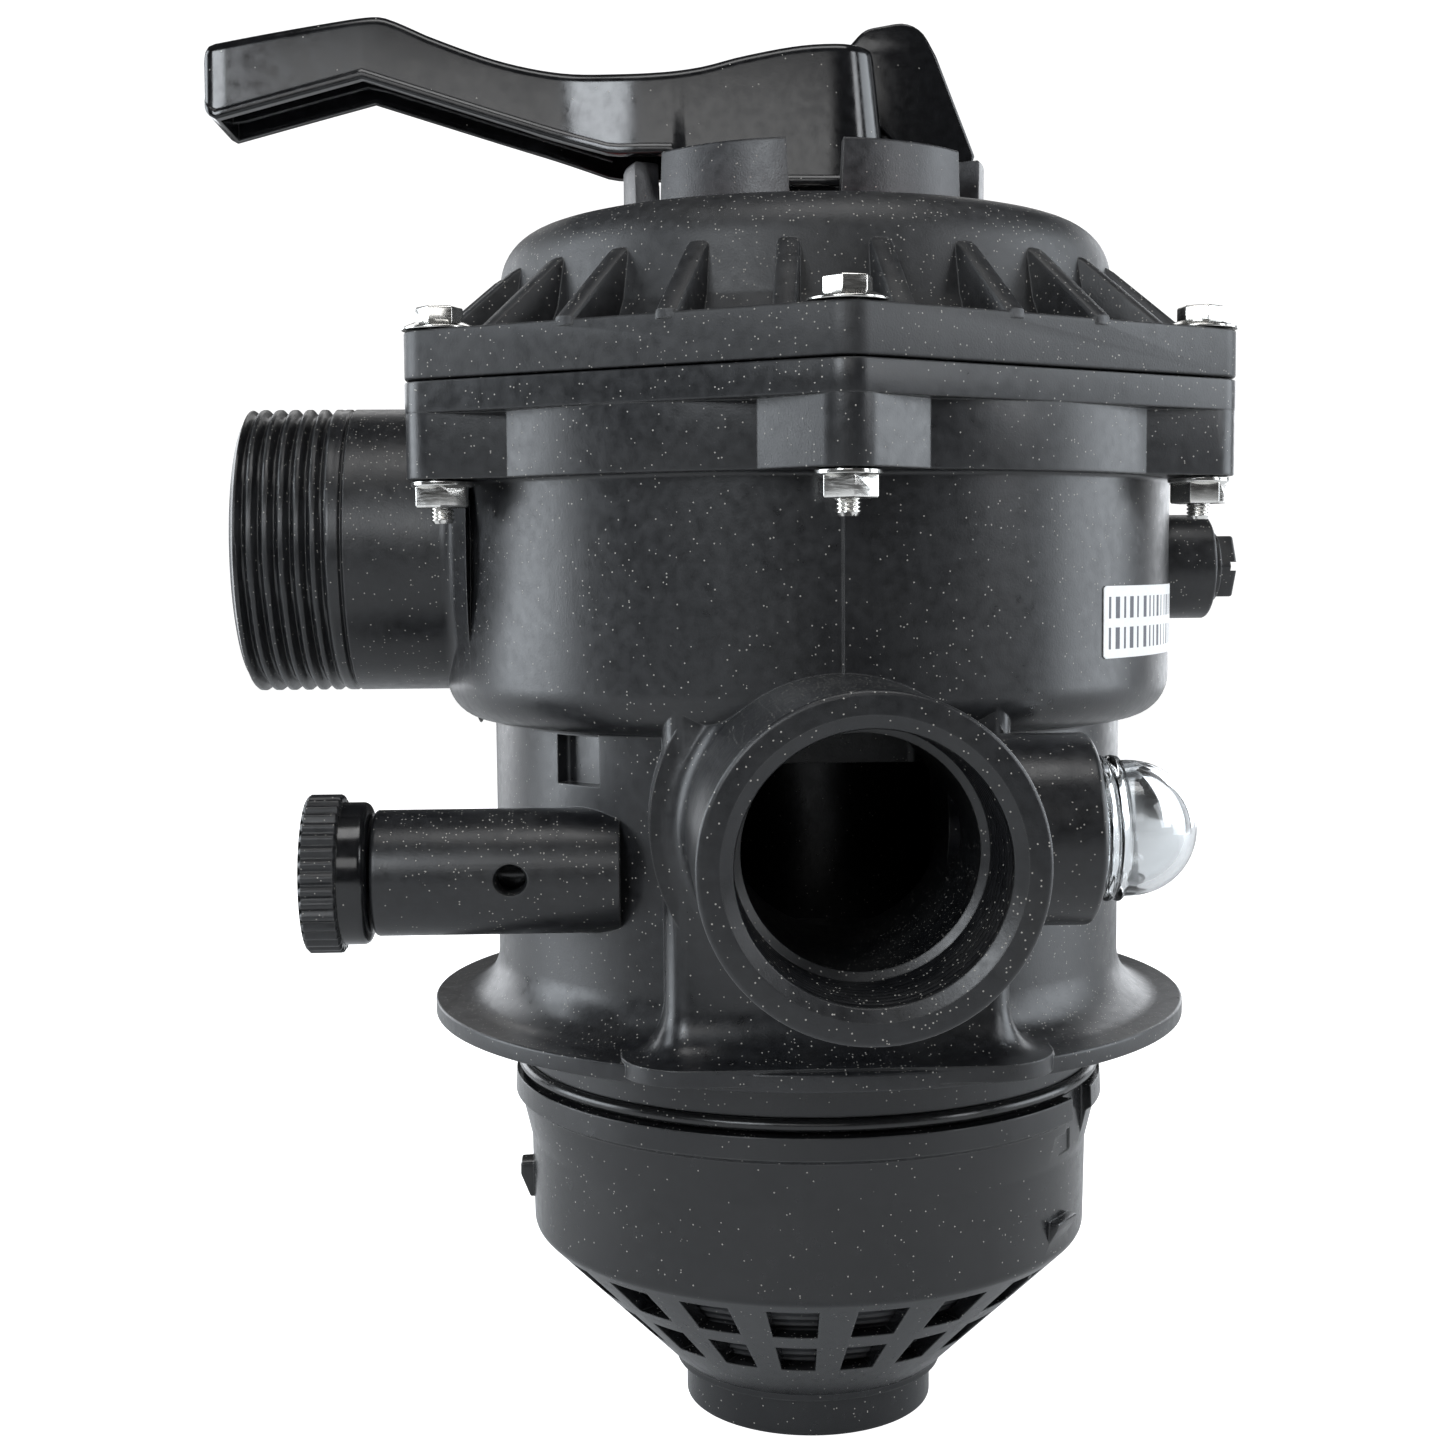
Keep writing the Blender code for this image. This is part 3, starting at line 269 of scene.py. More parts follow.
IDENTITY = Matrix.Identity(4)
DOWN_X = Matrix.Rotation(math.radians(-90), 4, "Y")
UP_X = Matrix.Rotation(math.radians(90), 4, "Y")
DOWN_Y = Matrix.Rotation(math.radians(90), 4, "X")
UP_Y = Matrix.Rotation(math.radians(-90), 4, "X")


def at(matrix, x=0.0, y=0.0, z=0.0):
    return Matrix.Translation((x, y, z)) @ matrix


def turn_z(degrees):
    return Matrix.Rotation(math.radians(degrees), 4, "Z")


def polar(radius, angle):
    """The point at this radius and angle, counted in degrees from -Y towards +X."""
    return radius * math.sin(math.radians(angle)), -radius * math.cos(math.radians(angle))


def solid(name, points, faces, matrix=IDENTITY):
    """A mesh object from points in millimetres, with its normals outwards."""
    mesh = bpy.data.meshes.new(name)
    mesh.from_pydata([(matrix @ Vector(point)) * MM for point in points], [], faces)
    shape = bmesh.new()
    shape.from_mesh(mesh)
    bmesh.ops.recalc_face_normals(shape, faces=shape.faces)
    shape.to_mesh(mesh)
    shape.free()
    made = bpy.data.objects.new(name, mesh)
    bpy.context.scene.collection.objects.link(made)
    return made


def skin(name, rings, matrix=IDENTITY, loop=False):
    """Joins closed rings of points. The first and last rings get caps, or meet if loop is set."""
    size = len(rings[0])
    points = [point for ring in rings for point in ring]
    faces = []
    for i in range(len(rings) if loop else len(rings) - 1):
        here, there = i * size, (i + 1) % len(rings) * size
        for k in range(size):
            after = (k + 1) % size
            faces.append((here + k, there + k, there + after, here + after))
    if not loop:
        faces.append(tuple(range(size)))
        faces.append(tuple(range(len(points) - size, len(points))))
    return solid(name, points, faces, matrix)


def rounded(corners, closed=True, step=12.0):
    """An outline from (a, b, radius) corners. A corner with no radius stays sharp."""
    out = []
    for i, corner in enumerate(corners):
        here = Vector(corner[:2])
        radius = corner[2] if len(corner) > 2 else 0.0
        if radius <= 0 or (not closed and i in (0, len(corners) - 1)):
            out.append(tuple(here))
            continue
        back = (Vector(corners[i - 1][:2]) - here).normalized()
        ahead = (Vector(corners[(i + 1) % len(corners)][:2]) - here).normalized()
        bend = math.pi - back.angle(ahead)
        centre = here + (back + ahead).normalized() * radius / math.cos(bend / 2)
        inset = radius * math.tan(bend / 2)
        first, last = here + back * inset - centre, here + ahead * inset - centre
        start = math.atan2(first.y, first.x)
        sweep = (math.atan2(last.y, last.x) - start + math.pi) % TAU - math.pi
        count = max(2, math.ceil(math.degrees(bend) / step))
        for k in range(count + 1):
            angle = start + sweep * k / count
            out.append((centre.x + radius * math.cos(angle), centre.y + radius * math.sin(angle)))
    return out


def lathe(name, profile, steps=128, matrix=IDENTITY, shift=None):
    """Turns a closed (r, z) profile about local Z. shift(angle, r, z) may move each point."""
    points, faces, rows = [], [], []
    for r, z in profile:
        if r < 1e-6:
            rows.append([len(points)] * steps)
            points.append((0.0, 0.0, z))
            continue
        rows.append(list(range(len(points), len(points) + steps)))
        for k in range(steps):
            angle = TAU * k / steps
            radius, height = shift(angle, r, z) if shift else (r, z)
            points.append((radius * math.cos(angle), radius * math.sin(angle), height))
    for i, row in enumerate(rows):
        after = rows[(i + 1) % len(rows)]
        if row[0] == row[1] and after[0] == after[1]:
            continue
        for k in range(steps):
            face = [row[k], after[k], after[(k + 1) % steps], row[(k + 1) % steps]]
            faces.append(tuple(dict.fromkeys(face)))
    return solid(name, points, faces, matrix)


def inwards(outline, distance):
    """A closed outline moved inwards by a distance."""
    area = sum(a[0] * b[1] - b[0] * a[1] for a, b in zip(outline, outline[1:] + outline[:1]))
    side = 1.0 if area > 0 else -1.0
    out = []
    for i, here in enumerate(outline):
        here = Vector(here)
        one = (here - Vector(outline[i - 1])).normalized()
        two = (Vector(outline[(i + 1) % len(outline)]) - here).normalized()
        first, second = Vector((-one.y, one.x)) * side, Vector((-two.y, two.x)) * side
        mitre = (first + second) / max(0.3, 1.0 + first.dot(second))
        out.append(tuple(here + mitre * distance))
    return out


def slab(name, outline, low, high, edge=0.0, matrix=IDENTITY, count=3):
    """A flat outline with thickness along local Z, its two rims rounded by edge."""
    layers = [(low, 0.0), (high, 0.0)]
    if edge:
        curve = [(edge * (1 - math.sin(a)), edge * (1 - math.cos(a))) for a in
                 (math.pi / 2 * i / count for i in range(count + 1))]
        layers = [(low + rise, inset) for inset, rise in curve]
        layers += [(high - rise, inset) for inset, rise in reversed(curve)]
    rings = []
    for z, inset in layers:
        ring = inwards(outline, inset) if inset > 1e-9 else outline
        rings.append([(x, y, z) for x, y in ring])
    return skin(name, rings, matrix)


def oblong(half_x, half_y, radius, step=15.0):
    corners = [(-half_x, -half_y), (half_x, -half_y), (half_x, half_y), (-half_x, half_y)]
    return rounded([(x, y, radius) for x, y in corners], step=step)


def brick(name, low, high, radius=0.6, edge=0.0, matrix=IDENTITY):
    """A box between two corners, its upright edges rounded by radius and its rims by edge."""
    half = [(b - a) / 2 for a, b in zip(low, high)]
    middle = [(a + b) / 2 for a, b in zip(low, high)]
    outline = [(x + middle[0], y + middle[1]) for x, y in oblong(half[0], half[1], radius)]
    return slab(name, outline, low[2], high[2], edge, matrix)


def carve(obj, operation, others):
    """Boolean with each of the others in turn, applied, with the others removed."""
    for other in others:
        step = obj.modifiers.new(other.name, "BOOLEAN")
        step.operation = operation
        step.solver = "MANIFOLD"
        step.object = other
    bpy.context.view_layer.update()
    graph = bpy.context.evaluated_depsgraph_get()
    mesh = bpy.data.meshes.new_from_object(obj.evaluated_get(graph))
    obj.modifiers.clear()
    obj.data = mesh
    for other in others:
        bpy.data.objects.remove(other, do_unlink=True)
    return obj


def put_on(obj, body, node, slot, *looks, smooth=32):
    """Names the piece's body, the CAD node that it stands for and its materials; slot is not used."""
    obj.data.materials.clear()
    for look in looks:
        obj.data.materials.append(look)
    obj.data.shade_smooth()
    obj.data.set_sharp_from_angle(angle=math.radians(smooth))
    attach(obj, body)
    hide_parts(node)
    return obj


def helix(pitch, depth, low, high, sign=1.0, crest=0.3):
    """A shift that cuts a helical thread between two heights, fading out at its ends."""
    def shift(angle, r, z):
        if z < low or z > high:
            return r, z
        phase = (z / pitch - angle / TAU) % 1.0
        tooth = max(0.0, min(1.0, (0.5 - abs(phase - 0.5)) / (0.5 - crest / 2)))
        fade = min(1.0, (z - low) / pitch, (high - z) / pitch)
        return r - sign * depth * (1.0 - tooth) * max(0.0, fade), z
    return shift


def column(r, top, bottom, pitch):
    """Profile points down a threaded length, eight to a turn."""
    count = max(2, round((top - bottom) / pitch * 8))
    return [(r, top + (bottom - top) * i / count) for i in range(count + 1)]


# ---------------------------------------------------------------- valve body


def hexagon(corner_circle, radius):
    """A hexagon with round corners, one of them towards -Y."""
    corners = []
    for k in range(6):
        sharp = corner_circle + radius / math.cos(math.radians(30))
        corners.append((*polar(sharp, 60 * k), radius))
    return rounded(corners, step=6.0)


def skirt_outline():
    """Round under each flat of the flange, with straight webs from sharp creases to the posts."""
    out = []
    for corner in range(0, 360, 60):
        x, y = polar(CORNER_CIRCLE, corner)
        for k in range(17):
            out_x, out_y = polar(CORNER_R - 0.1, corner - 46.2 + 92.4 * k / 16)
            out.append((x + out_x, y + out_y))
        out += [polar(87.4, corner + 11 + 38 * k / 20) for k in range(21)]
    return out


def body_core():
    outer = [(86.0, 141.0), (86.0, SKIRT_LOW + 0.2), (BOWL_R, SKIRT_LOW + 0.2, 1.2),
             (BOWL_R, BOWL_LOW, 9.3)]
    outer += [(NECK_R, BOWL_LOW, 0.8), (NECK_R, 4.8, 10.5), (DISC_R, 3.7, 0.5), (DISC_R, 0.0, 0.5)]
    outer += [(66.8, 0.0, 1.5), (66.8, -10.6), (64.6, -10.6), (64.6, -13.7), (62.0, -13.7), (62.0, -34.0)]
    inner = [(57.0, -34.0), (57.0, -4.0), (66.0, 6.0), (66.0, 60.0), (30.0, 60.0), (30.0, -60.0)]
    inner += [(24.0, -60.0), (24.0, 133.0), (78.5, 133.0), (78.5, 137.2), (83.2, 137.2), (83.2, 141.0)]
    return lathe("valve_body_shell", rounded(outer, False, 9.0) + inner, 180)


def parting_line():
    """The thin raised line that the two halves of the mould leave down the front and back."""
    return [
        brick("parting_front", (-0.22, -BOWL_R - 0.12, 79), (0.22, -BOWL_R + 2, SKIRT_LOW + 1), 0.2),
        brick("parting_back", (-0.22, BOWL_R - 2, 79), (0.22, BOWL_R + 0.12, SKIRT_LOW + 1), 0.2),
        brick("parting_post", (-0.2, -99.66, SKIRT_LOW + 0.3), (0.2, -97, SEAM - 0.3), 0.15),
    ]


def low_port(name, turn):
    """One low port: a panel that flares into the disc, a pipe with a fillet, and their cutters."""
    rings = []
    for z, spread in [(1.0, 9.0), (4.4, 9.0), (5.0, 6.0), (6.2, 3.6), (8.0, 1.9), (10.4, 0.7),
                      (13.4, 0.0), (74.0, 0.0)]:
        outline = rounded([(-PANEL_HALF - spread, -PANEL_FACE - spread, 5.0 + spread),
                           (PANEL_HALF + spread, -PANEL_FACE - spread, 5.0 + spread),
                           (PANEL_HALF + spread, -50.0), (-PANEL_HALF - spread, -50.0)])
        rings.append([(x, y, z) for x, y in outline])
    panel = skin(name + "_panel", rings, turn)
    axis = turn @ at(DOWN_Y, z=PORT_Z)
    pipe_line = [(0.0, PORT_END), (PORT_R, PORT_END, 0.9), (PORT_R, PANEL_FACE - 0.5, 5.0),
                 (PORT_R + 7, PANEL_FACE - 0.5)]
    pipe_line += [(PORT_R + 7, 62.0), (0.0, 62.0)]
    pipe = lathe(name + "_pipe", rounded(pipe_line, False, 10.0), 128, axis)
    top, bottom = PORT_END - 1.6, PORT_END - 20.4
    bore = [(0.0, PORT_END + 1), (26.6, PORT_END + 1), (26.6, PORT_END - 0.01), (24.3, top + 0.4)]
    bore += [(24.1 - 1.2 * k, z) for k, z in ((0.5 * (top - z) / (top - bottom), z) for _,
                                              z in column(1, top, bottom, 2.2))]
    bore += [(21.9, bottom - 0.8), (21.9, 50.0), (0.0, 50.0)]
    cutter = lathe(name + "_bore", bore, 128, axis, helix(2.2, -0.55, bottom, top, 1.0, 0.2))
    duct = brick(name + "_duct", (-22, -64.6, 28), (22, -38, 76), 3.0, 0.0, turn)
    return [panel, pipe], [cutter, duct]


def pump_port():
    axis = at(DOWN_X, z=PUMP_Z)
    top, bottom = PUMP_END - 1.2, PUMP_END - 22.6
    line = [(0.0, PUMP_END), (30.0, PUMP_END), (30.4, PUMP_END - 0.4)] + column(PUMP_R, top, bottom, 3.4)
    line += [(PUMP_R, PUMP_END - 23.6), (PUMP_R - 0.7, PUMP_END - 24.2), (PUMP_R, PUMP_END - 24.8)]
    line += rounded([(PUMP_R, 100.0), (PUMP_R, 80.0, 4.0), (PUMP_R + 8, 76.0)], False)[1:] + [(0.0, 70.0)]
    pipe = lathe("pump_pipe", line, 128, axis, helix(3.4, 1.9, bottom, top + 2.2))
    bore = rounded([(0, PUMP_END + 1), (25, PUMP_END + 1), (23.0, PUMP_END - 1.0), (23.0, 98.0),
                    (19.0, 88.0), (19.0, 60.0), (0, 60.0)], False)
    return [pipe], [lathe("pump_bore", bore, 96, axis)]


def bosses():
    relief, glass, gauge = at(DOWN_X, y=RELIEF_Y, z=RELIEF_Z), at(UP_X, y=GLASS_Y, z=PORT_Z), at(UP_X,
                                                                                                 z=GAUGE_Z)
    solids = [
        lathe("relief_boss", rounded([(0, 95.0), (13.2, 95.0, 1.0), (13.2, 44.0), (0, 44.0)], False), 72,
              relief),
        lathe("glass_boss", rounded([(0, 48.2), (18.9, 48.2, 1.4), (18.9, 12.0), (0, 12.0)], False), 96,
              glass),
        lathe("gauge_boss", rounded([(0, 94.9), (12.2, 94.9, 0.8), (12.2, 80.0), (0, 80.0)], False), 64,
              gauge),
    ]
    vent = [(0, 22), (3.7, 22), (3.7, 13.4), (3.1, 12.3), (3.1, 0), (0, 0)]
    cutters = [
        lathe("relief_bore", [(0, 96), (5.4, 96), (5.4, 40), (0, 40)], 48, relief),
        lathe("vent_hole", vent, 48, at(DOWN_Y, x=-66.3, y=RELIEF_Y, z=RELIEF_Z)),
        lathe("glass_bore", [(0, 49), (14.0, 49), (12.7, 47.6), (12.7, 40), (7, 40), (7, 12), (0, 12)],
              64, glass),
        lathe("gauge_bore", [(0, 96), (5.9, 96), (5.9, 70), (0, 70)], 48, gauge),
    ]
    return solids, cutters


def make_body():
    shell = body_core()
    plate = slab("body_plate", hexagon(CORNER_CIRCLE, CORNER_R), FLANGE_LOW, SEAM - 0.05, 0.35)
    skirt = slab("body_skirt", skirt_outline(), SKIRT_LOW, FLANGE_LOW + 1, 0.3)
    hollow = lathe("skirt_hollow", [(0, SEAM + 1), (83.2, SEAM + 1), (83.2, 137.2), (78.5, 137.2),
                                    (78.5, 74), (0, 74)], 180)
    solids, cutters = [plate, skirt], [hollow]
    for name, turn in (("waste", IDENTITY), ("return", turn_z(180))):
        more, cuts = low_port(name, turn)
        solids += more
        cutters += cuts
    more, cuts = pump_port()
    solids += more
    cutters += cuts
    more, cuts = bosses()
    solids += more
    cutters += cuts
    carve(shell, "UNION", solids + parting_line())
    cutters.append(brick("square_recess", (-6.5, -NECK_R - 2, 57.2), (6.5, -NECK_R + 3.4, 67.6), 0.8,
                         0.0, turn_z(-46.5)))
    for k in range(6):
        x, y = polar(CORNER_CIRCLE, 60 * k)
        cutters.append(lathe(f"bolt_hole_{k}", [(0, SEAM + 1), (2.9, SEAM + 1), (2.9, 120), (0, 120)],
                             24, at(IDENTITY, x, y)))
    carve(shell, "DIFFERENCE", cutters)
    port_plate = lathe("port_plate", [(24, 133), (79, 133), (79, 127), (30, 127), (30, 73), (24, 73)], 96)
    carve(shell, "UNION", [port_plate])
    put_on(shell, "valve", "valve_body", "moulded_black", SATIN)


# ---------------------------------------------------------------- cover


def gusset(index):
    """One triangular rib between dome and flange, drafted and with a rounded outer edge."""
    half = 2.35
    rings = []
    for y, inset in ((-half, 1.0), (-half + 0.25, 0.4), (-half + 0.8, 0.05), (0.0, -0.05),
                     (half - 0.8, 0.05), (half - 0.25, 0.4), (half, 1.0)):
        corners = [(62.0, 150.5), (88.6 - inset, 150.5), (88.6 - inset, 152.3 - 0.6 * inset)]
        corners += [(79.6 - 0.7 * inset, 160.0 - 0.75 * inset),
                    (71.6 - 0.7 * inset, 166.8 - 0.75 * inset)]
        corners += [(70.2 - 0.5 * inset, 167.7 - 0.9 * inset), (62.0, 168.4 - inset)]
        rings.append([(x, y, z) for x, z in corners])
    return skin(f"gusset_{index}", rings, turn_z(7.5 + 360 / RIBS * index))


def make_cover():
    outer = [(13.2, 183.0), (19.0, 183.0, 0.8), (19.0, DOME_TOP, 1.0), (RING_BORE, DOME_TOP, 0.8)]
    outer += [(RING_BORE, COVER_TOP, 0.6), (RING_R, COVER_TOP, 0.6), (RING_R, DOME_TOP, 0.5)]
    outer += [(68.1, DOME_TOP, 11.5), (71.9, 157.0, 4.0), (74.2, FLANGE_TOP, 1.6), (80.0, FLANGE_TOP)]
    inner = [(80.0, COVER_LOW), (78.2, COVER_LOW), (78.2, 138.9), (74.0, 138.9), (70.0, 146.0),
             (66.5, 157.0)]
    inner += [(60.0, 168.0), (52.0, 173.6), (19.0, 173.6), (19.0, 166.0), (13.2, 166.0)]
    shell = lathe("cover_shell", rounded(outer, False, 6.0) + inner, 192)
    plate = slab("cover_plate", hexagon(CORNER_CIRCLE, CORNER_R), COVER_LOW, FLANGE_TOP, 0.6)
    hollow = lathe("plate_hollow", [(0, 160), (79.0, 160), (79.0, 130), (0, 130)], 192)
    carve(plate, "DIFFERENCE", [hollow])
    carve(shell, "UNION", [plate] + [gusset(k) for k in range(RIBS)])
    cutters = []
    for k in range(6):
        slot = rounded([(-5.4, DOME_TOP + 1.5, 1.2), (5.4, DOME_TOP + 1.5, 1.2), (6.2, COVER_TOP + 2),
                        (-6.2, COVER_TOP + 2)])
        low, high = RING_BORE - 2.5, RING_R + 2.5
        upright = turn_z(60 * k - 1.5) @ Matrix.Rotation(math.radians(90), 4, "X")
        cutters.append(slab(f"ring_slot_{k}", slot, low, high, 0.0, upright))
        x, y = polar(CORNER_CIRCLE, 60 * k)
        cutters.append(lathe(f"cover_hole_{k}", [(0, 160), (2.9, 160), (2.9, 135), (0, 135)], 24,
                             at(IDENTITY, x, y)))
    carve(shell, "DIFFERENCE", cutters)
    put_on(shell, "valve", "valve_cover", "moulded_black", MATT, SPARKLE)
    for face in shell.data.polygons:
        reach = math.hypot(face.center.x, face.center.y) / MM
        if face.center.z / MM > DOME_TOP + 0.2 and reach < RING_R + 1:
            face.material_index = 1


def ring_sheet(name, inner, outer, low, high, inked, steps=360, rows=16):
    """A thin flat ring whose cells take the second material where inked(angle, share) says so."""
    points, faces, looks = [], [], []
    for z in (high, low):
        for j in range(rows + 1):
            r = inner + (outer - inner) * j / rows
            points += [(*polar(r, 360 * k / steps), z) for k in range(steps)]
    size = (rows + 1) * steps
    for j in range(rows):
        for k in range(steps):
            m = (k + 1) % steps
            a, b, c, d = j * steps + k, j * steps + m, (j + 1) * steps + m, (j + 1) * steps + k
            faces += [(a, b, c, d), (size + d, size + c, size + b, size + a)]
            looks += [int(inked(360 * (k + 0.5) / steps, (j + 0.5) / rows)), 0]
    for k in range(steps):
        m = (k + 1) % steps
        last = rows * steps
        faces += [(k, size + k, size + m, m), (last + m, size + last + m, size + last + k, last + k)]
        looks += [0, 0]
    made = solid(name, points, faces)
    return made, looks


def make_dial():
    """The red plate on the dome, with plain white marks at the six positions."""
    def inked(angle, share):
        from_mark = (angle + 30) % 60 - 30
        bar = abs(from_mark) < 9.0 and 0.34 < share < 0.50
        bar = bar or (abs(from_mark) < 6.0 and 0.58 < share < 0.68)
        tick = abs(from_mark) < 1.0 and 0.06 < share < 0.26
        return bar or tick or 0.88 < share < 0.94
    low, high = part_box("position_label")
    made, looks = ring_sheet("dial_plate", 41.8, 53.2, low.z / MM, high.z / MM, inked)
    put_on(made, "valve", "position_label", "label_red", RED, INK)
    for face, look in zip(made.data.polygons, looks):
        face.material_index = look


# ---------------------------------------------------------------- lever


def smooth_line(points, x):
    """A smooth curve through the points, read at x."""
    for i in range(len(points) - 1):
        if x <= points[i + 1][0] or i == len(points) - 2:
            break
    x0, y0 = points[i]
    x1, y1 = points[i + 1]
    xa, ya = points[max(0, i - 1)]
    xb, yb = points[min(len(points) - 1, i + 2)]
    first = (y1 - ya) / (x1 - xa)
    second = (yb - y0) / (xb - x0)
    share = max(0.0, min(1.0, (x - x0) / (x1 - x0)))
    width = x1 - x0
    return ((2 * share**3 - 3 * share**2 + 1) * y0 + (share**3 - 2 * share**2 + share) * width * first
            + (3 * share**2 - 2 * share**3) * y1 + (share**3 - share**2) * width * second)


LEVER_TOP = [(-134.4, 218.6), (-120.0, 221.4), (-104.0, 224.2), (-97.5, 225.1), (-94.5, 225.0),
             (-90.5, 223.6),
             (-84.0, 220.8), (-69.0, 215.7), (-55.0, 213.0), (-42.0, 212.3), (-33.0, 212.5),
             (-24.0, 213.7),
             (-15.0, 216.0), (-2.0, 218.4), (8.0, 218.9), (17.0, 218.3)]
LEVER_LOW_LINE = [(-134.4, 203.4), (-131.6, 202.4), (-115.0, 207.0), (-99.3, 211.3), (-70.0, 202.3),
                  (-44.0, 194.5),
                  (-30.6, 194.4), (-29.2, 191.0), (-28.0, 187.5), (17.0, 187.5)]


def straight_line(points, x):
    for (x0, y0), (x1, y1) in zip(points, points[1:]):
        if x <= x1:
            return y0 + (y1 - y0) * (x - x0) / (x1 - x0)
    return points[-1][1]


def lever_width(x):
    """Half the lever's width: an even grip, a flare to the head and a round end."""
    share = max(0.0, min(1.0, (x + 60.0) / 27.0))
    half = 13.5 + 4.0 * share * share * (3 - 2 * share)
    if x > 6.0:
        half = 8.5 + math.sqrt(max(0.0, 81.0 - (x - 6.0) ** 2))
    return half


def lever_ring(x, inset):
    top, low, half = smooth_line(LEVER_TOP, x) - inset, straight_line(LEVER_LOW_LINE,
                                                                      x) + inset, lever_width(x) - inset
    lip = 1.5
    side = 0.45
    crown = 0.6
    right = rounded([(0.0, low), (half, low, 0.5), (half, low + lip, 0.4),
                     (half - side, low + lip + 0.7, 0.4),
                     (half - side, top, 2.2), (half * 0.45, top + crown * 0.5), (0.0, top + crown)],
                     False, 22.5)[1:-1]
    left = [(-y, z) for y, z in reversed(right)]
    ring = []
    for y, z in right + left:
        lean = max(0.0, x - 4.0) / 11.0 * (219.0 - z) / 31.0 * 3.6
        ring.append((x + lean, y, z))
    return ring


def make_lever():
    stations = [-134.4 + 0.02, -134.2, -133.8, -133.0, -131.6, -129.0]
    stations += [-126.0 + 3.0 * k for k in range(8)] + [-102.0, -100.2, -99.3, -98.4, -97.0, -95.5,
                                                        -94.0, -92.0]
    stations += [-90.0 + 2.5 * k for k in range(23)] + [-32.0, -30.8, -30.4, -29.2, -28.0, -26.5]
    stations += [-24.0 + 2.5 * k for k in range(12)] + [6.0, 8.0, 9.8, 11.4, 12.7, 13.7, 14.4, 14.8, 15.0]
    insets = {0: 2.6, 1: 1.6, 2: 0.9, 3: 0.25}
    rings = []
    for index, x in enumerate(stations):
        rings.append(lever_ring(x, insets.get(index,
                                              {-1: 1.2, -2: 0.35}.get(index - len(stations), 0.0))))
    arm = skin("lever_arm", rings)
    wall, head_wall = 2.8, 3.6
    hollow = []
    for x in [-131.0] + [-128.0 + 4.0 * k for k in range(34)] + [6.0, 9.0]:
        half = min(lever_width(x), 17.5) - (wall if x < -60 else head_wall)
        roof = smooth_line(LEVER_TOP, x) - wall
        hollow.append([(x, y, z) for y, z in rounded([(-half, 180.0), (half, 180.0), (half, roof, 1.5),
                                                      (-half, roof, 1.5)])])
    carve(arm, "DIFFERENCE", [skin("lever_hollow", hollow)])
    ribs = []
    for y in (-4.6, 4.6):
        rings = []
        for x in [-132.5] + [-128.0 + 4.0 * k for k in range(22)]:
            roof, floor = smooth_line(LEVER_TOP, x) - wall + 0.5, straight_line(LEVER_LOW_LINE, x) + 2.2
            rings.append([(x, y - 0.8, floor), (x, y + 0.8, floor), (x, y + 0.8, roof),
                          (x, y - 0.8, roof)])
        ribs.append(skin(f"grip_rib_{y}", rings))
    tab = rounded([(5.0, 214.0), (29.2, 190.2), (31.2, 194.3), (38.2, 194.3, 0.8), (38.9, 196.0, 0.8),
                   (30.0, 218.4, 9.0), (25.5, 226.5, 7.0), (13.5, 224.3, 6.0), (9.6, 220.0, 1.0)])
    across = Matrix.Rotation(math.radians(90), 4, "X")
    ribs.append(slab("tail_tab", tab, -7.0, 7.0, 0.7, across))
    carve(arm, "UNION", ribs)
    carve(arm, "DIFFERENCE", [lathe("pin_hole", [(0, 15.9), (3.1, 15.9), (3.1, -15.9), (0, -15.9)], 32,
                                    at(UP_Y, z=199.0))])
    put_on(arm, "lever", "handle", "gloss_black", GLOSS)
    pin = [(0, 15.7), (2.8, 15.7, 0.5), (2.8, -15.7, 0.5), (0, -15.7)]
    put_on(lathe("lever_pin", rounded(pin, False), 32, at(UP_Y, z=199.0)), "lever", "handle_pin",
           "stainless", STEEL)


# ---------------------------------------------------------------- fasteners


def six_sided(radius, turn, rounding=0.3):
    corners = [(radius * math.cos(TAU * k / 6 + turn), radius * math.sin(TAU * k / 6 + turn),
                rounding) for k in range(6)]
    return rounded(corners, step=20.0)


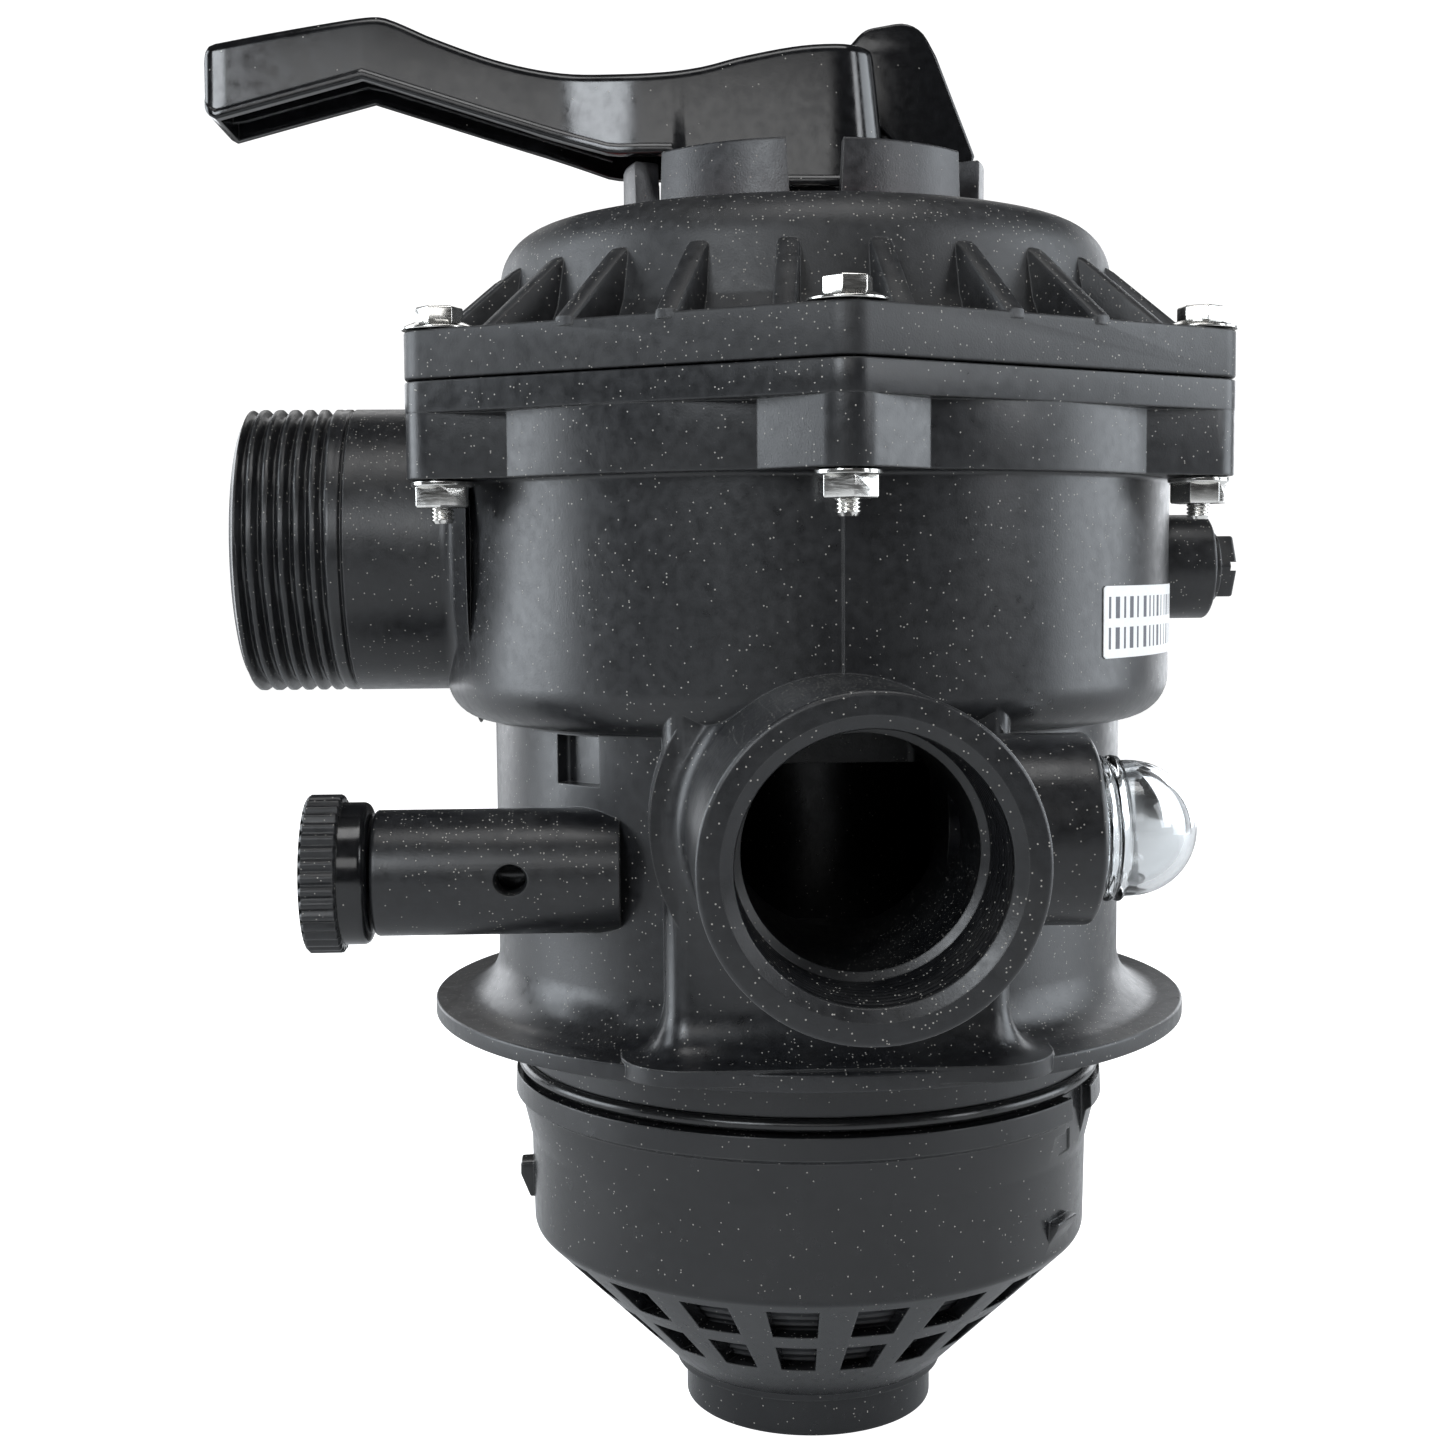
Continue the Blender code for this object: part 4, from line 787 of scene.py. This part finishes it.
def make_fasteners():
    for k in range(6):
        low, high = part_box(f"bolt_{k + 1}")
        x, y = (low.x + high.x) / 2 / MM, (low.y + high.y) / 2 / MM
        base, turn = FLANGE_TOP + 0.3, math.radians(12 + 23 * k)
        place = at(IDENTITY, x, y)
        tip = low.z / MM
        line = rounded([(0, base + 2.0), (4.4, base + 2.0), (7.4, base + 0.75), (7.9, base + 0.5, 0.2),
                        (7.9, base, 0.2),
                        (2.45, base)], False)
        line += column(2.45, base - 26.0, tip + 0.7, 0.8) + [(1.9, tip), (0, tip)]
        bolt = lathe(f"flange_bolt_{k + 1}", line, 36, place, helix(0.8, 0.42, tip + 0.2, base - 26.0))
        head = slab("head", six_sided(4.95, turn), base + 0.8, high.z / MM, 0.55, place)
        dish = lathe("dish", [(0, high.z / MM + 1), (3.2, high.z / MM + 1), (2.6, high.z / MM - 0.5),
                              (0, high.z / MM - 0.5)], 32, place)
        carve(bolt, "UNION", [head])
        carve(bolt, "DIFFERENCE", [dish])
        put_on(bolt, "valve", f"bolt_{k + 1}", "stainless", STEEL)
        low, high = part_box(f"nut_{k + 1}")
        foot, face = low.z / MM, high.z / MM
        line = rounded([(2.9, face), (6.5, face, 0.25), (6.5, face - 0.9, 0.25), (5.4, face - 1.6),
                        (2.9, face - 1.6)], False)
        nut = lathe(f"flange_nut_{k + 1}", line, 48, place)
        hexagonal = slab("nut_hexagon", six_sided(6.1, turn + 0.4), foot, face - 0.6, 0.5, place)
        bore = lathe("nut_bore", [(0, face + 1), (2.8, face + 1), (2.8, foot + 0.4), (3.3, foot - 1),
                                  (0, foot - 1)], 36, place)
        carve(nut, "UNION", [hexagonal])
        carve(nut, "DIFFERENCE", [bore])
        put_on(nut, "valve", f"nut_{k + 1}", "stainless", STEEL)


# ---------------------------------------------------------------- side fittings


def make_sight_glass():
    place = at(UP_X, y=GLASS_Y, z=PORT_Z)
    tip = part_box("sight_glass")[1].x / MM
    radius = 13.4
    line = [(radius * math.cos(math.radians(a)), tip - radius + radius * math.sin(math.radians(a)))
            for a in range(90, -1, -6)]
    line += [(13.5, 54.0)] + column(14.4, 53.8, 48.6, 2.3) + [(12.2, 48.6), (12.2, 41.6), (10.2, 41.6),
                                                              (10.4, 50.0)]
    wall = radius - 2.2
    line += [(wall * math.cos(math.radians(a)),
              tip - radius + wall * math.sin(math.radians(a))) for a in range(0, 91, 6)]
    glass = lathe("glass_dome", line, 64, place, helix(2.3, 0.9, 48.6, 54.4))
    put_on(glass, "valve", "sight_glass", "clear", CLEAR, smooth=50)


def make_gauge_plug():
    place = at(UP_X, z=GAUGE_Z)
    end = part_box("gauge_plug")[1].x / MM
    line = rounded([(0, 97.0), (8.2, 97.0, 0.4), (8.2, 95.2), (5.5, 95.2), (5.5, 90.0), (4.2, 90.0),
                    (4.2, 87.0), (5.5, 87.0),
                    (5.5, 82.0, 0.6), (0, 82.0)], False)
    plug = lathe("plug_fitting", line, 48, place)
    head = slab("plug_hexagon", six_sided(8.2, math.pi / 2, 0.6), 96.0, end, 0.7, place)
    groove = brick("plug_slot", (-1.0, -9.0, end - 1.6), (1.0, 9.0, end + 1.0), 0.2, 0.0, place)
    carve(plug, "UNION", [head])
    carve(plug, "DIFFERENCE", [groove])
    put_on(plug, "valve", "gauge_plug", "moulded_black", SATIN)


def make_knob():
    """A finely knurled knob with a round collar behind it."""
    place = at(DOWN_X, y=RELIEF_Y, z=RELIEF_Z)
    teeth = 36

    def knurl(angle, r, z):
        if r < 15.9 or z < 101.3:
            return r, z
        return r - 0.85 * (0.5 + 0.5 * math.cos(teeth * angle)) ** 1.6, z

    line = rounded([(0, 108.9), (12.4, 108.9, 0.4), (12.8, 108.3), (13.6, 108.3), (14.0, 108.9, 0.3),
                    (16.0, 108.9, 0.3),
                    (16.6, 108.3), (16.6, 101.9), (16.0, 101.4), (14.9, 101.4), (14.9, 96.3, 1.6),
                    (12.6, 95.5, 0.8),
                    (4.9, 95.5), (4.9, 62.0), (3.7, 62.0), (3.7, 59.0), (4.9, 59.0), (4.9, 56.0, 0.6),
                    (0, 56.0)], False)
    knob = lathe("relief_grip_knob", line, teeth * 8, place, knurl)
    put_on(knob, "relief_grip", "relief_knob", "moulded_black", SATIN, GLOSS)
    for face in knob.data.polygons:
        if face.center.x / MM > -101.5:
            face.material_index = 1


def make_sticker():
    """A white sticker on the bowl, with two rows of plain bars."""
    low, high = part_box("serial_label")
    first, last, steps, rows = 42.2, 77.8, 120, 40
    inner, outer = BOWL_R + 0.08, BOWL_R + 0.3
    foot, top = low.z / MM, high.z / MM
    bars = (2, 5, 6, 9, 12, 13, 16, 20, 21, 24, 27, 30, 31, 34, 38, 41, 42, 45, 48, 52, 53, 56)
    points, faces, looks = [], [], []
    for r in (outer, inner):
        for j in range(rows + 1):
            z = foot + (top - foot) * j / rows
            curl = max(0.0, abs(j / rows - 0.5) * 2 - 0.9) * 10
            pull = 0.5 * (1 - math.sqrt(max(0.0, 1 - curl**2)))
            points += [(*polar(r, first + pull + (last - first - 2 * pull) * k / steps),
                        z) for k in range(steps + 1)]
    width, size = steps + 1, (rows + 1) * (steps + 1)
    for j in range(rows):
        for k in range(steps):
            a = j * width + k
            faces += [(a, a + 1, a + width + 1, a + width),
                      (size + a, size + a + width, size + a + width + 1, size + a + 1)]
            band = 5 <= j < 17 or 22 <= j < 34
            looks += [int(band and 4 <= k < steps - 6 and k // 2 in bars), 0]
    edge = list(range(width)) + [j * width + steps for j in range(1, rows + 1)]
    edge += [rows * width + k for k in range(steps - 1, -1, -1)] + [j * width for j in range(rows - 1, 0,
                                                                                             -1)]
    for a, b in zip(edge, edge[1:] + edge[:1]):
        faces.append((a, size + a, size + b, b))
        looks.append(0)
    made = solid("bowl_sticker", points, faces)
    put_on(made, "valve", "serial_label", "label_white", WHITE, GREY_INK)
    for face, look in zip(made.data.polygons, looks):
        face.material_index = look


# ---------------------------------------------------------------- strainer


def make_strainer():
    outer = [(69.0, -14.4, 0.6), (69.2, -19.2), (68.4, -19.8), (67.9, -20.2), (65.6, -30.0, 6.0),
             (65.2, -51.0, 3.0), (31.6, -84.6, 0.6), (31.6, -86.0)]
    inner = [(30.0, -86.0), (30.0, -80.5), (62.8, -49.6), (62.8, -34.0), (64.6, -14.4)]
    shell = lathe("strainer_shell", rounded(outer, False, 6.0) + inner, 180)
    rows = []
    for name, low, high, near, far in (("upper", -62.6, -53.6, 46.0, 75.0),
                                       ("lower", -74.8, -66.4, 36.0, 62.0)):
        for k in range(20):
            angle = -8 + 18 * k
            half = math.radians(5.2)
            outline = rounded([(-near * math.tan(half), -near), (-far * math.tan(half), -far),
                               (far * math.tan(half), -far),
                               (near * math.tan(half), -near)])
            rows.append(slab(f"{name}_window_{k}", outline, low, high, 0.0, turn_z(angle)))
    # A locking slot and a snap hook on the right, and a small nub on the left
    rows.append(brick("lock_slot", (-5.0, -72.0, -27.5), (7.0, -66.3, -13.0), 0.4, 0.0, turn_z(57)))
    rows.append(brick("lock_slot_foot", (-9.5, -72.0, -27.5), (0.0, -65.9, -22.5), 0.4, 0.0, turn_z(57)))
    carve(shell, "DIFFERENCE", rows)
    nub = slab("left_nub", rounded([(63.0, -46.0), (66.2, -46.0, 0.5), (68.4, -40.6, 0.6),
                                    (68.4, -37.8, 0.5), (63.0, -37.6)]), -3.6, 3.6,
               0.4, turn_z(180) @ Matrix.Rotation(math.radians(90), 4, "X"))
    hook = slab("right_hook", rounded([(60.0, -56.0), (66.8, -44.2, 0.5), (67.6, -42.2, 0.4),
                                       (60.0, -42.0)]), -5.0, 5.0, 0.4,
                turn_z(-36) @ Matrix.Rotation(math.radians(90), 4, "X"))
    carve(shell, "UNION", [nub, hook])
    put_on(shell, "valve", "strainer_basket", "strainer_black", STRAINER)
    sheet = []
    count = 12
    for k in range(count + 1):
        share = k / count
        r, z = 59.0 - 25.2 * share, -51.0 - 25.6 * share
        sheet += [(r + 0.45, z), (r - 0.35, z - 0.45 * 25.6 / count), (r - 0.35, z - 0.75 * 25.6 / count)]
    line = [point for point in sheet if point[1] > -77.0]
    line += [(line[-1][0] - 1.6, -77.0), (57.9, -51.0)]
    put_on(lathe("inner_screen", line, 120), "valve", "strainer_screen", "strainer_black", INNER)


def make_socket():
    line = [(23.6, -50.0), (23.6, -60.3), (29.2, -60.3), (29.2, SOCKET_LOW, 0.7),
            (24.6, SOCKET_LOW, 0.4), (24.2, SOCKET_LOW + 1.2)]
    line += [(24.2, -70.0), (20.5, -70.0), (20.5, -50.0)]
    put_on(lathe("bottom_socket", rounded(line, False), 128), "valve", "pipe_socket", "strainer_black",
           STRAINER)


def make_neck_ring():
    line = [(67.1 + 1.4 * math.cos(TAU * k / 20),
             -12.15 + 1.4 * math.sin(TAU * k / 20)) for k in range(20, 0, -1)]
    put_on(lathe("neck_seal", line, 180), "valve", "neck_o_ring", "rubber_black", RUBBER)


def dress_frame():
    """Materials for the CAD nodes that stay: seals, springs, washers and the rotor."""
    for name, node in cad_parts.items():
        look = {"rotor": SATIN, "rotor_spring": SPRING_STEEL, "spring_seat": STEEL,
                "spring_washer": STEEL,
                "handle_washer": STEEL}.get(name, RUBBER if "ring" in name or "gasket" in name else None)
        if look:
            node.data.materials.clear()
            node.data.materials.append(look)


make_body()
make_cover()
make_dial()
make_lever()
make_fasteners()
make_sight_glass()
make_gauge_plug()
make_knob()
make_sticker()
make_strainer()
make_socket()
make_neck_ring()
dress_frame()

# ---------------------------------------------------------------- floor, light and camera


def seen_first(tree, hidden, seen):
    """A value that is one number for rays from the camera and another for all the rest."""
    path = tree.nodes.new("ShaderNodeLightPath")
    level = tree.nodes.new("ShaderNodeMapRange")
    level.inputs["To Min"].default_value = hidden
    level.inputs["To Max"].default_value = seen
    tree.links.new(path.outputs["Is Camera Ray"], level.inputs["Value"])
    return level.outputs["Result"]


def make_floor():
    mesh = bpy.data.meshes.new("floor")
    reach, low = FLOOR_REACH, SOCKET_LOW * MM - FLOOR_GAP
    mesh.from_pydata([(-reach, -reach, low), (reach, -reach, low), (reach, reach, low),
                      (-reach, reach, low)], [], [(0, 1, 2, 3)])
    floor = bpy.data.objects.new("floor", mesh)
    bpy.context.scene.collection.objects.link(floor)
    n = Nodes("pale_floor")
    n.set(Base_Color=n.mix(n.noise(8.0), (0.70, 0.70, 0.70), (0.74, 0.74, 0.74)), Roughness=0.7)
    n.set(Emission_Color=(1.0, 1.0, 1.0, 1.0), Emission_Strength=seen_first(n.tree, 0.0, 1.0))
    mesh.materials.append(n.material)


def softbox(name, place, aim, width, height, power, tone):
    """A soft rectangular light that points at aim."""
    light = bpy.data.lights.new(name, "AREA")
    light.shape = "RECTANGLE"
    light.size, light.size_y = width, height
    light.energy = power
    light.color = tone
    made = bpy.data.objects.new(name, light)
    made.location = place
    made.rotation_euler = (Vector(aim) - Vector(place)).to_track_quat("-Z", "Y").to_euler()
    bpy.context.scene.collection.objects.link(made)


def make_light():
    for name, place, width, height, power, tone in SOFTBOXES:
        softbox(name, place, LIGHT_AIM, width, height, power, tone)
    world = bpy.data.worlds.new("studio")
    bpy.context.scene.world = world
    world.use_nodes = True
    back = world.node_tree.nodes["Background"]
    back.inputs["Color"].default_value = (1.0, 1.0, 1.0, 1.0)
    world.node_tree.links.new(seen_first(world.node_tree, WORLD_HIDDEN, WORLD_SEEN),
                              back.inputs["Strength"])
    bpy.context.scene.view_settings.view_transform = "Standard"


def make_camera():
    lens, distance, height = 49.96, 473.06, 103.33
    bearing, heading, pitch, roll = (math.radians(a) for a in (5.11, 2.74, 4.51, -0.42))
    forward = Vector((math.sin(heading) * math.cos(pitch), math.cos(heading) * math.cos(pitch),
                      -math.sin(pitch)))
    right = Vector((math.cos(heading), -math.sin(heading), 0.0))
    above = right.cross(forward)
    side = right * math.cos(roll) + above * math.sin(roll)
    top = above * math.cos(roll) - right * math.sin(roll)
    data = bpy.data.cameras.new("camera")
    data.lens = lens
    data.sensor_width = 36.0
    data.clip_start, data.clip_end = 0.01, 50.0
    camera = bpy.data.objects.new("camera", data)
    place = Vector((-distance * math.sin(bearing), -distance * math.cos(bearing), height)) * MM
    camera.matrix_world = Matrix.Translation(place) @ Matrix((side, top, -forward)).transposed().to_4x4()
    bpy.context.scene.collection.objects.link(camera)
    bpy.context.scene.camera = camera


make_floor()
make_light()
make_camera()
